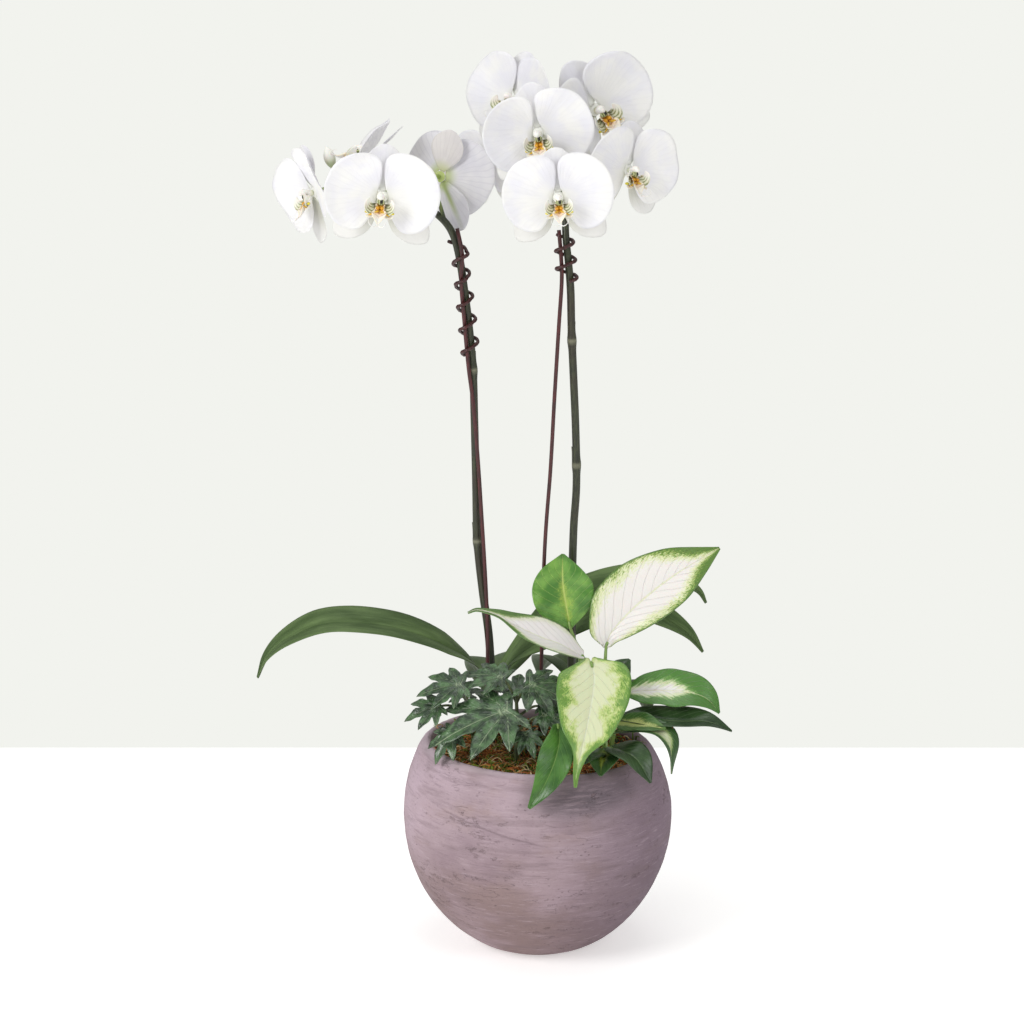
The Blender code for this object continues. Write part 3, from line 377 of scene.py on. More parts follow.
def patch_shape(outline, height, thickness, rings, centre, spot_of):
    """Closed sheet inside an outline, thinner at its edge. Spot: the two values of spot_of, and the side."""
    loop = vec(outline)
    middle = vec(centre)
    flat = [(middle, 0.0)]
    for ring in range(1, rings + 1):
        share = (ring / rings) ** 0.85
        flat += [(place, share) for place in middle + (loop - middle) * share]
    step = 0.2
    upper = []
    lower = []
    for (x, y), out in flat:
        here = vec(height(x, y))
        slope_x = (vec(height(x + step, y)) - here) / step
        slope_y = (vec(height(x, y + step)) - here) / step
        offset = unit(np.cross(slope_x, slope_y)) * (thickness / 2 * (1 - 0.6 * out ** 4))
        upper.append(here + offset)
        lower.append(here - offset)
    size = len(loop)
    low = len(flat)
    faces = []
    for k in range(size):
        a, b = 1 + k, 1 + (k + 1) % size
        faces += [(0, a, b), (low, low + b, low + a)]
        for p in range(0, (rings - 1) * size, size):
            ends = (a + p, a + p + size, b + p + size, b + p)
            faces += [ends, tuple(low + end for end in ends[::-1])]
        p, q = a + (rings - 1) * size, b + (rings - 1) * size
        faces.append((p, low + p, low + q, q))
    return np.array(upper + lower), faces, two_sided(np.array([spot_of(x, y) for (x, y), _ in flat]))


def blade_grid(points, faces_to, half_width, rows, cols, fold=0.0, curl=0.0, wave=0.0, waves=3.0,
               notch=0.0, blunt=0.0, groove=0.4, veins=0, relief=0.0, lean=0.35):
    """Surface points of a leaf blade and its painted places, as in the part but finer.

    notch: how far the base lobes reach back. blunt: share of the length that rounds the base.
    groove: depth of the midrib. veins: side veins on each half, with their relief and lean.
    """
    where = 0.5 - 0.5 * np.cos(np.linspace(0.0, math.pi, rows + 1))
    where = 0.55 * where + 0.45 * np.linspace(0.0, 1.0, rows + 1)
    rib = smooth_curve(points, where)
    tangents = np.gradient(rib, axis=0)
    facing = np.atleast_2d(vec(faces_to))
    face = spread(facing, where) if len(facing) > 1 else np.tile(facing[0], (rows + 1, 1))
    halves = half_width if isinstance(half_width[0], (list, tuple)) else (half_width, half_width)
    left, right = (np.maximum(smooth_profile(half, where), 0.15) for half in halves)
    if blunt:
        near = np.clip(where / blunt, 0.0, 1.0)
        rounding = 0.35 + 0.65 * np.sqrt(1 - (1 - near) ** 2)
        left = left * rounding
        right = right * rounding
    fold = math.radians(fold)
    curl = math.radians(curl)
    grid = np.zeros((rows + 1, 2 * cols + 1, 3))
    spot = np.zeros((rows + 1, 2 * cols + 1, 2))
    for i in range(rows + 1):
        tangent = unit(tangents[i])
        normal = unit(face[i] - np.dot(face[i], tangent) * tangent)
        side = np.cross(tangent, normal)
        for j in range(-cols, cols + 1):
            width = right[i] if j >= 0 else left[i]
            share = abs(j) / cols
            steps = np.linspace(0, share, 7)
            angle = fold + curl * (steps[:-1] + steps[1:]) / 2
            along = width * np.sum(np.cos(angle)) * share / 6
            rise = width * np.sum(np.sin(angle)) * share / 6
            ripple = wave * math.sin(2 * math.pi * waves * where[i] + (1.2 if j > 0 else 0.0))
            rise += ripple * share ** 2 * math.sin(math.pi * where[i])
            rise -= groove * math.exp(-(share * width / 1.6) ** 2) * min(1.0, width / 6.0)
            if veins:
                swing = math.cos(2 * math.pi * veins * (where[i] - lean * share))
                rise += relief * swing * share * (1 - share)
            back = notch * math.sin(math.pi * share ** 0.8) * max(1 - where[i] / 0.22, 0.0) ** 2
            grid[i, j + cols] = rib[i] + side * along * (1 if j > 0 else -1) + normal * rise - tangent * back
            spot[i, j + cols] = (j / cols, where[i])
    return grid, spot


# Materials

SETTINGS = {
    "soft": "Subsurface Weight", "soft_scale": "Subsurface Scale", "soft_radius": "Subsurface Radius",
    "sheen": "Sheen Weight", "gloss": "Specular IOR Level", "coat": "Coat Weight",
    "coat_roughness": "Coat Roughness", "glow": "Emission Strength", "glow_colour": "Emission Color",
}


def tint(code):
    """Linear colour from a six digit colour code."""
    parts = [int(code[i:i + 2], 16) / 255.0 for i in (0, 2, 4)]
    return tuple(p / 12.92 if p <= 0.04045 else ((p + 0.055) / 1.055) ** 2.4 for p in parts) + (1.0,)


class Value:
    """Output of a node. Sums, products and the other methods add a node and return its output."""

    def __init__(self, look, socket):
        self.look = look
        self.socket = socket

    def math(self, operation, other=0.0):
        return self.look.node("ShaderNodeMath", {0: self, 1: other}, operation=operation)

    def __add__(self, other):
        return self.math("ADD", other)

    def __sub__(self, number):
        return self.math("ADD", -number)

    def __mul__(self, other):
        return self.math("MULTIPLY", other)

    def __abs__(self):
        return self.math("ABSOLUTE")

    def sine(self):
        return self.math("SINE")

    def most(self, other):
        return self.math("MAXIMUM", other)

    def steps(self, low, high, start=0.0, end=1.0):
        """Smooth change from start to end while the value goes from low to high."""
        return self.look.node("ShaderNodeMapRange", {0: self, 1: low, 2: high, 3: start, 4: end},
                              interpolation_type="SMOOTHSTEP")

    def mix(self, share, colour):
        """Share of another colour laid over this one."""
        return self.look.mix(share, self, colour)

    def ramp(self, *stops):
        """Colour for the value from stops of a position and a colour code."""
        made = self.look.node("ShaderNodeValToRGB", {0: self})
        band = made.socket.node.color_ramp
        while len(band.elements) < len(stops):
            band.elements.new(0.5)
        for element, (position, code) in zip(band.elements, stops):
            element.position = position
            element.color = tint(code)
        return made


class Look:
    """One node material. A node's input may be a value, a number or a colour code."""

    def __init__(self, name, roughness, **settings):
        self.material = bpy.data.materials.new(name)
        self.material.use_nodes = True
        self.tree = self.material.node_tree
        self.shader = self.tree.nodes["Principled BSDF"]
        self.shader.inputs["Roughness"].default_value = roughness
        for key, value in settings.items():
            self.shader.inputs[SETTINGS[key]].default_value = value

    def node(self, kind, inputs, output=0, **options):
        made = self.tree.nodes.new(kind)
        for key, value in options.items():
            setattr(made, key, value)
        for key, value in inputs.items():
            if isinstance(value, Value):
                self.tree.links.new(value.socket, made.inputs[key])
            else:
                made.inputs[key].default_value = tint(value) if isinstance(value, str) else value
        return Value(self, made.outputs[output])

    def mix(self, share, a, b):
        return self.node("ShaderNodeMix", {0: share, 6: a, 7: b}, 2, data_type="RGBA")

    def parts(self, vector):
        made = self.node("ShaderNodeSeparateXYZ", {0: vector})
        return [Value(self, output) for output in made.socket.node.outputs]

    def painted(self, title):
        """The three parts of a painted value."""
        return self.parts(self.node("ShaderNodeAttribute", {}, "Vector", attribute_name=title))

    def place(self, stretch=(1.0, 1.0, 1.0), turn=(0.0, 0.0, 0.0)):
        """Place on the object in metres, stretched and turned for a pattern."""
        source = self.node("ShaderNodeTexCoord", {}, "Object")
        return self.node("ShaderNodeMapping", {0: source, "Scale": stretch, "Rotation": turn})

    def noise(self, scale, detail=3.0, roughness=0.55, stretch=(1.0, 1.0, 1.0), turn=(0.0, 0.0, 0.0),
              at=None):
        """Clouds by place on the object, or by the vector at."""
        return self.node("ShaderNodeTexNoise", {"Vector": at or self.place(stretch, turn), "Scale": scale,
                                                "Detail": detail, "Roughness": roughness})

    def blade_noise(self, across, along, detail, roughness=0.55):
        """Clouds that follow the length and width of a leaf."""
        at = self.node("ShaderNodeCombineXYZ", {0: across, 1: along, 2: 0.0})
        return self.noise(1.0, detail, roughness, at=at)

    def cells(self, scale, stretch=(1.0, 1.0, 1.0)):
        return self.node("ShaderNodeTexVoronoi", {"Vector": self.place(stretch), "Scale": scale})

    def finish(self, colour, height=None, depth=0.0003, strength=0.6):
        """Connects colour and relief, and returns the material."""
        self.tree.links.new(colour.socket, self.shader.inputs["Base Color"])
        if height:
            bump = self.node("ShaderNodeBump", {"Height": height, "Distance": depth, "Strength": strength})
            self.tree.links.new(bump.socket, self.shader.inputs["Normal"])
        return self.material


def clay_look():
    """Mauve unglazed clay with soft clouds, trowel lines, scratches, pits, a dark smudge, and painted shade
    low down and on the right.
    """
    look = Look("clay", 0.86, gloss=0.3)
    x, y, z = look.parts(look.place())
    in_front = y.steps(0.0, -0.05)
    broad = look.noise(8.0, 4.0, 0.6, (1, 1, 1.4))
    warm = look.noise(13.0, 4.0, 0.6, (1, 1, 2.0), (0.2, 0, 0.4))
    colour = broad.ramp((0.3, "8f7b84"), (0.45, "aa969d"), (0.57, "b6a1aa"), (0.72, "c4afbb"))
    colour = colour.mix(warm.steps(0.46, 0.66, 0.0, 0.6), "a08983")
    # The lower half is darker and browner and the right side darker plum, darkest low on the right: partly
    # painted shade, as the key lamp falls from the left, and partly the clay's own uneven colour.
    low = z.steps(0.04, 0.14, 1.0, 0.0)
    right = (x + broad * 0.06).steps(0.02, 0.14, 0.0, 0.68)
    colour = colour.mix(low * warm.steps(0.35, 0.6, 0.48, 0.85), "7f6b6a")
    colour = colour.mix(right, "716070").mix(right * low * 0.75, "54464e")
    # Fine horizontal grain from turning the pot, in two sizes, and flecks.
    grain = look.noise(60.0, 5.0, 0.66, (1, 1, 11), (0.03, 0.05, 0))
    band = look.noise(17.0, 4.0, 0.6, (1, 1, 7), (0.05, -0.06, 0))
    fleck = look.noise(330.0, 3.0, 0.7, (1, 1, 2.2))
    colour = colour.mix(grain.steps(0.52, 0.72, 0.0, 0.38), "6f5f66")
    colour = colour.mix(grain.steps(0.46, 0.28, 0.0, 0.28), "c3b2ba")
    colour = colour.mix(band.steps(0.52, 0.66, 0.0, 0.32), "7b6a6e")
    colour = colour.mix(fleck.steps(0.56, 0.72, 0.0, 0.30), "6c5c60")
    # Dark smudge below the rim, right of the front.
    across = (x - 0.034) * 22.0
    up = (z - 0.151) * 62.0
    smudge = (across * across + up * up + grain * 2.4).steps(1.1, 2.7, 0.8, 0.0) * in_front
    colour = colour.mix(smudge * grain.steps(0.38, 0.58, 0.45, 1.0), "565056")
    # One long slanting trowel line across the front, and thin scratches.
    slant = z + (x * 0.20 + x * x * -0.63)
    line = abs(slant + broad * 0.012 - 0.123).steps(0.0002, 0.0014, 1.0, 0.0)
    reach = abs(x + 0.036).steps(0.026, 0.052, 1.0, 0.0) * in_front
    trowel = line * reach * grain.steps(0.36, 0.52, 0.25, 1.0)
    thin = abs(look.noise(19.0, 4.0, 0.5, (1, 1, 5), (0.1, 0.24, 0.3)) - 0.5).steps(0.0, 0.006, 1.0, 0.0)
    scratch = thin * look.noise(26.0, 2.0, 0.55, (1, 1, 2)).steps(0.54, 0.66)
    # Pits: small cells, only where another noise allows them; chipped patches in places.
    pit = look.cells(190.0, (1, 1, 1.7)).steps(0.08, 0.24, 1.0, 0.0) * look.noise(48.0, 2.0).steps(0.53, 0.64)
    chips = look.noise(130.0, 5.0, 0.75, (1, 1, 2.2)).steps(0.54, 0.60)
    chipped = chips * look.noise(17.0, 3.0, 0.55, (1, 1, 3.2), (0.3, 0, 0)).steps(0.53, 0.66)
    marks = scratch.most(pit).most(trowel * 0.8)
    # Paler band along the top of the rim.
    pale_rim_top = z.steps(0.1655, 0.1695)
    colour = colour.mix(marks * 0.42, "5d4d51").mix(chipped * 0.34, "6a5553").mix(pale_rim_top * 0.4, "c6b7bf")
    height = grain * 0.45 + band * 0.35 + fleck * 0.3 + marks.most(chipped) * -0.7
    return look.finish(colour, height, 0.0008, 0.8)


def bark_look():
    look = Look("bark", 0.95)
    chips = look.cells(150.0, (1, 1, 1.6))
    return look.finish(chips.ramp((0.0, "1d130d"), (0.5, "3b281b"), (1.0, "5a4029")), chips, 0.002, 0.8)


def moss_look():
    """Ground of the moss: brown litter and green cushions, with near-black spots of painted shade in the gaps
    between the fibres.
    """
    look = Look("moss_ground", 0.95)
    fine = look.noise(420.0, 4.0, 0.7)
    # The near-black low ends of both ramps are painted shade in the gaps between the fibres.
    green = fine.ramp((0.38, "0a0d05"), (0.56, "263210"), (0.74, "5f7024"))
    brown = fine.ramp((0.44, "0a0603"), (0.6, "2c180a"), (0.76, "744019"))
    return look.finish(brown.mix(look.noise(38.0, 2.0).steps(0.44, 0.56), green), fine, 0.003, 1.0)


def fibre_look():
    """Dry curly moss fibres; each one has its own tone."""
    look = Look("moss_fibre", 0.8)
    own = look.painted("tone")[0]
    colour = own.ramp((0.0, "4a2412"), (0.18, "a0541f"), (0.4, "cf7d36"), (0.58, "e8b06a"), (0.7, "f6e0b4"),
                      (0.78, "4c6016"), (1.0, "8ba233"))
    streak = look.noise(700.0, 2.0)
    return look.finish(colour.mix(streak.steps(0.4, 0.7, 0.0, 0.35), "4a2c17"), streak, 0.0003, 0.5)


def petal_look():
    """White petal: faint veins from the centre, lavender shade, green at the base and on the back, and a back
    greyer than the front as painted shade.
    """
    look = Look("petal", 0.52, soft=0.35, soft_scale=0.006, soft_radius=(1.0, 0.97, 0.95), sheen=0.05,
                gloss=0.3)
    x, y, side = look.painted("spot")
    kind, across, along = look.painted("tone")
    reach = (x * x + y * y).math("SQRT")
    ray = (y.math("ARCTAN2", x) * 46.0 + look.noise(60.0, 2.0) * 9.0).sine()
    vein = ray.steps(0.55, 1.0) * reach.steps(6.0, 20.0)
    cloud = look.noise(45.0, 2.0).steps(0.35, 0.7)
    dull = look.mix(reach.steps(14.0, 42.0), "cbcbb8", "e9e8e2")
    front = look.mix(cloud, "f5f4f1", "ebeaf1").mix(vein * 0.05, "cfcbd6")
    front = front.mix(reach.steps(4.0, 12.0, 0.4, 0.0), "e6e8d2").mix(kind.steps(1.2, 1.8) * 0.9, dull)
    middle = abs(across).steps(0.0, 4.0, 1.0, 0.0) * kind.steps(1.3, 1.7)
    middle = middle * along.steps(20.0, 50.0, 0.85, 0.15)
    beige = kind.steps(0.6, 0.9) * kind.steps(1.1, 1.4, 1.0, 0.0) * 0.35
    # Painted shade: the back is greyer and more lavender than the front, for the side that faces away from
    # the light. Its green base and middle and the beige are the flower's own colour.
    back = look.mix(cloud, "e3e1e4", "d3d1d9").mix(vein * 0.2, "b9b6c2")
    back = back.mix(reach.steps(5.0, 17.0, 0.9, 0.0), "aebf63").mix(middle, "93a653").mix(beige, "cfc2a8")
    height = vein * 0.5 + look.noise(900.0, 2.0) * 0.2
    return look.finish(back.mix(side.steps(-0.4, 0.4), front), height, 0.00025, 0.5)


def hood_look():
    """White column with a green foot."""
    look = Look("column", 0.4, soft=0.1, soft_scale=0.002)
    along = look.painted("spot")[1]
    fleck = look.noise(500.0, 2.0)
    colour = look.mix(fleck.steps(0.4, 0.7), "f5f3ee", "e9e6dd")
    return look.finish(colour.mix(along.steps(0.0, 0.3, 0.7, 0.0), "c9cf9b"), fleck, 0.0001, 0.3)


def throat_look():
    """Throat of the lip: olive stripes that run into a near-black spot of painted shade, where the column
    shades the hollow.
    """
    look = Look("lip_throat", 0.5)
    x, y, _ = look.painted("spot")
    fine = look.noise(400.0, 2.0)
    stripe = (x * 4.2 + fine * 2.0).sine()
    # Painted shade: a near-black spot in the hollow below the column, where the column shades the throat.
    right = x - 0.9
    up = y + 1.3
    hole = (right * right + up * up * 0.6).steps(0.6, 2.4, 1.0, 0.0)
    colour = look.mix(stripe.steps(-0.2, 0.7), "b9bd8c", "5a6329").mix(hole, "14120b")
    return look.finish(colour, fine, 0.0002, 0.4)


def wing_look():
    """Side lobe of the lip: white outside, olive stripes within, yellow lower edge."""
    look = Look("lip_wing", 0.45, soft=0.08, soft_scale=0.002)
    across, along, side = look.painted("spot")
    fine = look.noise(260.0, 3.0)
    stripe = (across * 13.0 + fine * 7.0).sine()
    inner = look.mix(stripe.steps(-0.1, 0.7, 0.0, 0.85), "dfe0c4", "757f38")
    inner = inner.mix(along.steps(0.12, 0.4, 0.85, 0.0), "4c4a1c").mix(along.steps(0.5, 0.85), "f3f1ea")
    inner = inner.mix(across.steps(0.25, 0.85) * along.steps(0.05, 0.5, 1.0, 0.0), "d9b12c")
    outer = look.mix(fine.steps(0.4, 0.7), "f3f1ec", "e7e6d5")
    return look.finish(outer.mix(side.steps(-0.3, 0.3), inner), fine, 0.0002, 0.4)


def tongue_look():
    """Middle lobe of the lip: yellow with red-brown bars at its base, white to the tip."""
    look = Look("lip_tongue", 0.42, soft=0.08, soft_scale=0.002)
    across, along, _ = look.painted("spot")
    fine = look.noise(330.0, 3.0)
    wide = abs(across)
    colour = look.mix((along + fine * 0.3).steps(0.45, 0.85), "dfa626", "f1eee6")
    colour = colour.mix((wide + fine * 0.4).steps(0.7, 1.05, 0.0, 0.8), "f6efd8")
    bar = (along * 44.0 + wide * 4.0).sine().steps(0.1, 0.7) * along.steps(0.3, 0.75, 0.9, 0.0)
    return look.finish(colour.mix(bar * fine.steps(0.38, 0.52), "8a3a17"), fine, 0.0002, 0.4)


def callus_look():
    """Yellow callus and yellow ears of the lip, with red-brown freckles."""
    look = Look("lip_callus", 0.35)
    freckles = look.cells(900.0)
    colour = look.mix(look.painted("tone")[0].steps(0.0, 1.0), "e3a427", "ddd03a")
    return look.finish(colour.mix(freckles.steps(0.16, 0.42, 0.85, 0.0), "8f3c18"), freckles, 0.0001, 0.3)


def bud_look():
    look = Look("bud", 0.45, soft=0.1, soft_scale=0.003)
    along = look.painted("spot")[1]
    fine = look.noise(240.0, 2.0)
    colour = look.mix(along.steps(0.1, 0.6), "bcc59a", "f0efe8")
    return look.finish(colour.mix(fine.steps(0.45, 0.7, 0.0, 0.2), "d6d7c4"), fine, 0.0002, 0.4)


def spike_look():
    """Dark olive stem with fine lengthwise streaks, paler rings at its nodes, green stalks."""
    look = Look("spike", 0.42)
    stalk, ring, _ = look.painted("tone")
    streak = look.noise(900.0, 2.0, 0.55, (1, 1, 0.06))
    light = streak.steps(0.35, 0.7)
    blotch = look.noise(60.0, 2.0, 0.55, (1, 1, 0.4)).steps(0.45, 0.7, 0.0, 0.5)
    colour = look.mix(light, "1f2315", "3b4127").mix(blotch, "33261b").mix(ring * 0.7, "8b8a72")
    return look.finish(colour.mix(stalk, look.mix(light, "7f9a3f", "a9bb67")), streak, 0.0002, 0.4)


def stick_look(name, dark, light, roughness):
    look = Look(name, roughness)
    streak = look.noise(1200.0, 2.0, 0.55, (1, 1, 0.05))
    wear = look.noise(110.0, 2.0).steps(0.55, 0.75, 0.0, 0.4)
    colour = look.mix(streak.steps(0.35, 0.7), dark, light).mix(wear, "23100e")
    return look.finish(colour, streak, 0.0002, 0.4)


def stalk_look(name, dark, light):
    look = Look(name, 0.4)
    streak = look.noise(900.0, 2.0, 0.55, (1, 1, 0.08))
    return look.finish(look.mix(streak.steps(0.35, 0.7), dark, light), streak, 0.0002, 0.4)


def side_veins(look, across, along, count, lean, sharp):
    """Thin lines that leave the midrib at an angle."""
    phase = along + abs(across) * -lean + look.noise(90.0, 2.0) * 0.02
    return (phase * (2 * math.pi * count)).sine().steps(sharp, 1.0)


def variegated_look(name, inner, middle, green, dark, rim, tip=0.9, feather=0.3, speckle=0.5, base=0.0,
                    rib="dfe6b5", vein_tint="c9bfbf", vein_share=0.35, blotch=0.3, edge=0.93):
    """Two-coloured leaf: pale inside, green outside, with a feathered and mottled border.

    rim: share of the half width where the green begins. tip: share of the length where it closes in.
    feather, speckle, blotch: unevenness of the border along the side veins, in fine grain and in patches.
    edge: share of the half width where the dark outline begins.
    """
    look = Look(name, 0.34, coat=0.12, coat_roughness=0.25, soft=0.05, soft_scale=0.002)
    across, along, side = look.painted("spot")
    wide = abs(across)
    slant = along + wide * -0.32
    lanes = look.blade_noise(across * 2.4, slant * 22.0, 4.0, 0.6) - 0.5
    grain = look.blade_noise(across * 24.0, slant * 64.0, 4.0, 0.7) - 0.5
    patch = look.noise(70.0, 3.0, 0.6)
    toward = wide + along.steps(tip - 0.35, tip + 0.08) * 0.75
    if base:
        toward = toward + along.steps(0.0, base, 1.0, 0.0) * 0.6
    toward = toward + lanes * (feather * 2.0) + (patch - 0.5) * (blotch * 2.0) + grain * speckle
    colour = look.mix(toward.steps(rim - 0.30, rim), inner, middle)
    colour = colour.mix(toward.steps(rim - 0.04, rim + 0.14, 0.0, 0.9), green)
    colour = colour.mix((toward + grain * 0.7).steps(rim + 0.10, rim + 0.26) * 0.85, dark)
    colour = colour.mix((wide + grain * 0.10).steps(edge, edge + 0.03) * 0.8, dark)
    pale = toward.steps(rim - 0.2, rim, 1.0, 0.25)
    veins = side_veins(look, across, along, 11, 0.32, 0.9)
    fine_veins = side_veins(look, across, along, 33, 0.42, 0.7)
    colour = colour.mix(fine_veins * pale * (vein_share * 0.4), vein_tint)
    colour = colour.mix(veins * pale * vein_share, vein_tint)
    centre = wide.steps(0.0, 0.05, 1.0, 0.0)
    colour = colour.mix(centre * 0.65, rib).mix(side.steps(-0.3, 0.3, 0.28, 0.0), "c7d6a0")
    height = veins * -0.7 + centre * -0.7 + patch * 0.8 + look.noise(500.0, 2.0) * 0.25
    return look.finish(colour, height, 0.0006, 0.7)


def green_look(name, dark, light, vein, under, rib="a8bf6c", star=0.0, star_tint="c8d36c", roughness=0.33,
               length_lines=False, gloss=0.5, coat=0.15):
    """Green leaf with a midrib and side veins or lengthwise lines; star is the share of a pale middle."""
    look = Look(name, roughness, coat=coat, coat_roughness=0.2, gloss=gloss)
    across, along, side = look.painted("spot")
    wide = abs(across)
    if length_lines:
        cloud = look.blade_noise(across * 1.3, along * 4.0, 3.0)
        veins = look.blade_noise(across * 30.0, along * 1.5, 2.0).steps(0.5, 0.72)
        share, blotch = 0.25, 0.12
    else:
        cloud = look.noise(55.0, 3.0)
        veins = side_veins(look, across, along, 9.0, 0.34, 0.86)
        share, blotch = 0.4, 0.35
    mottle = look.noise(150.0, 4.0, 0.7)
    colour = look.mix(cloud.steps(0.35, 0.68), dark, light).mix(veins * share, vein)
    colour = colour.mix(mottle.steps(0.52, 0.66, 0.0, blotch), dark)
    if star:
        grain = look.blade_noise(across * 20.0, along * 46.0, 4.0, 0.7)
        near = wide + mottle * 0.8 + grain * 0.7 + along.steps(0.45, 0.95) * 0.3
        colour = colour.mix(near.steps(star + 0.55, star + 0.95, 0.85, 0.0), star_tint)
    centre = wide.steps(0.0, 0.06, 1.0, 0.0)
    colour = colour.mix(centre * 0.6, rib).mix(side.steps(-0.3, 0.3, 0.8, 0.0), under)
    height = veins * -0.7 + centre * -0.7 + cloud * 0.8 + look.noise(420.0, 2.0) * 0.3
    return look.finish(colour, height, 0.0006, 0.7)


def lobed_look():
    """Dark blue-green lobed leaf with pale veins and a soft shine."""
    look = Look("lobed_leaf", 0.28, coat=0.5, coat_roughness=0.14, gloss=0.6)
    away, along, side = look.painted("spot")
    middle = away.steps(0.0, 0.13, 1.0, 0.0)
    lines = (along * 44.0 + away * -11.0).sine().steps(0.72, 1.0) * away.steps(0.0, 0.8, 1.0, 0.2)
    colour = look.mix(look.noise(120.0, 3.0).steps(0.38, 0.66), "20371f", "55784b").mix(lines * 0.6, "88a57c")
    colour = colour.mix(middle * 0.85, "b3c79f").mix(side.steps(-0.3, 0.3, 0.8, 0.0), "66785a")
    height = middle * -0.7 + lines * -0.6 + look.noise(240.0, 3.0) * 1.1
    return look.finish(colour, height, 0.0014, 1.0)


def all_looks():
    return {
        "petal": petal_look(),
        "lip": [hood_look(), wing_look(), tongue_look(), callus_look(), throat_look()],
        "spike": spike_look(),
        "stake": stick_look("stake", "320f10", "551c1d", 0.36),
        "tie": stick_look("tie", "2a0e0d", "4d1c1b", 0.36),
        "orchid": green_look("orchid_leaf", "475d33", "687f4e", "405534", "3f5130", rib="4a6038",
                             roughness=0.44, length_lines=True, gloss=0.22, coat=0.0),
        "crown": stalk_look("crown", "3c4826", "66713f"),
        "upright": green_look("leaf_upright", "447a26", "77a843", "99bd60", "86a35c", rib="ccd87a", star=0.12,
                              star_tint="a3bd4a"),
        "large": variegated_look("leaf_large", "ece8e3", "dde3b2", "93b04e", "4a7226", 0.85, feather=0.16,
                                 speckle=1.0, blotch=0.22, vein_tint="cdc4c5", vein_share=0.12, edge=0.94),
        "pale": variegated_look("leaf_pale", "f1edea", "e2e4ca", "86a355", "4f7536", 0.94, tip=0.72,
                                feather=0.10, speckle=0.4, blotch=0.1, vein_tint="c0b4b6", vein_share=0.2),
        "front": variegated_look("leaf_front", "d8deb6", "c3d287", "93b453", "5d8a35", 0.66, feather=0.2,
                                 speckle=0.7, base=0.08, rib="dfe4cc", vein_tint="eaecd4", vein_share=0.16,
                                 blotch=0.8),
        "right": variegated_look("leaf_right", "eeece8", "d9e2b6", "5f963a", "44792a", 0.40, tip=0.76,
                                 feather=0.42, speckle=0.35, base=0.1, blotch=0.1),
        "mid": green_look("leaf_mid", "2f5c1d", "4f7f30", "6f9a4c", "64864a", rib="8aab5c"),
        "deep": green_look("leaf_deep", "1f3718", "35502a", "4b683a", "4f6842", rib="6b8552"),
        "star": green_look("leaf_star", "355f20", "547c32", "86a155", "647f48", star=0.36,
                           star_tint="ccd487"),
        "banded": variegated_look("leaf_banded", "cdd6ae", "a3b878", "3b6427", "29501d", 0.45, feather=0.2,
                                  speckle=0.3, blotch=0.1),
        "fleck": green_look("leaf_fleck", "23441b", "3a5d28", "587539", "52693c", star=0.2,
                            star_tint="9fa83a"),
        "lobed": lobed_look(),
        "lobed_stalk": stalk_look("lobed_stalk", "3f4a2c", "6d7a4a"),
        "stalk": stalk_look("leaf_stalk", "6f9142", "93ae66"),
    }


# Pot and filling

def wall_radius(z, radius, lower, upper):
    half = lower if z < POT_WIDEST_Z else upper
    return radius * math.sqrt(max(1 - ((z - POT_WIDEST_Z) / half) ** 2, 0.0))


def outer_radius(z):
    return wall_radius(z, POT_RADIUS, POT_LOWER_HALF, POT_UPPER_HALF)


def inner_radius(z):
    return wall_radius(z, POT_RADIUS - POT_WALL, INNER_LOWER_HALF, INNER_UPPER_HALF)


def rim_shift(x, z):
    """Height change of the uneven rim."""
    blend = min(max((z - POT_WIDEST_Z) / (POT_RIM_Z - POT_WIDEST_Z), 0.0), 1.0)
    return RIM_SLOPE * x * blend


def build_pot():
    """Hand-made globe: soft dents, faint turning rings and a worn rounded rim."""
    foot = outer_radius(0.0)
    profile = [(foot + past, z) for past, z in FOOT_EDGE]
    profile += [(outer_radius(z), z) for z in np.linspace(*OUTER_WALL, 84)]
    profile += RIM_EDGE
    profile += [(inner_radius(z), z) for z in np.linspace(*INNER_WALL, 30)]
    profile += [(inner_radius(INNER_WALL[1]) - 8.0, POT_FLOOR)]
    dents = Waves(3, 95.0)
    small = Waves(8, 22.0)
    worn = Waves(12, 16.0)
    verts = []
    for radius, z in profile:
        rim = math.exp(-((z - RIM_TOP) / 3.0) ** 2)
        calm = min(z / 12.0, 1.0) if radius > foot - 2.0 else 0.0
        for c, s in circle(POT_SEGMENTS):
            at = (radius * c, radius * s, z)
            wear = rim * abs(worn(at))
            rings = TURNING_RINGS * small((at[0], at[1], z * 3.0))
            r = radius + min(calm * (DENTS * dents(at) + rings - RIM_WEAR * wear), MOST_BULGE)
            verts.append((r * c, r * s, z + rim_shift(r * c, z) - 0.3 * wear))
    body = Body()
    body.add((verts, ring_faces(len(profile), POT_SEGMENTS), (0.0, 0.0, 0.0)))
    body.make("pot_shell", [clay_look()], ["pot"])


def moss_height(x, y):
    """Top of the moss without its small relief."""
    share = math.hypot(x, y) / MOSS_RADIUS
    fall = max(share - 0.8, 0.0) / 0.2
    level = MOSS_BOTTOM + MOSS_THICK + MOSS_RELIEF * (1 - share ** 2) - MOSS_FALL * fall ** 2
    return level + RIM_SLOPE * x * 0.8


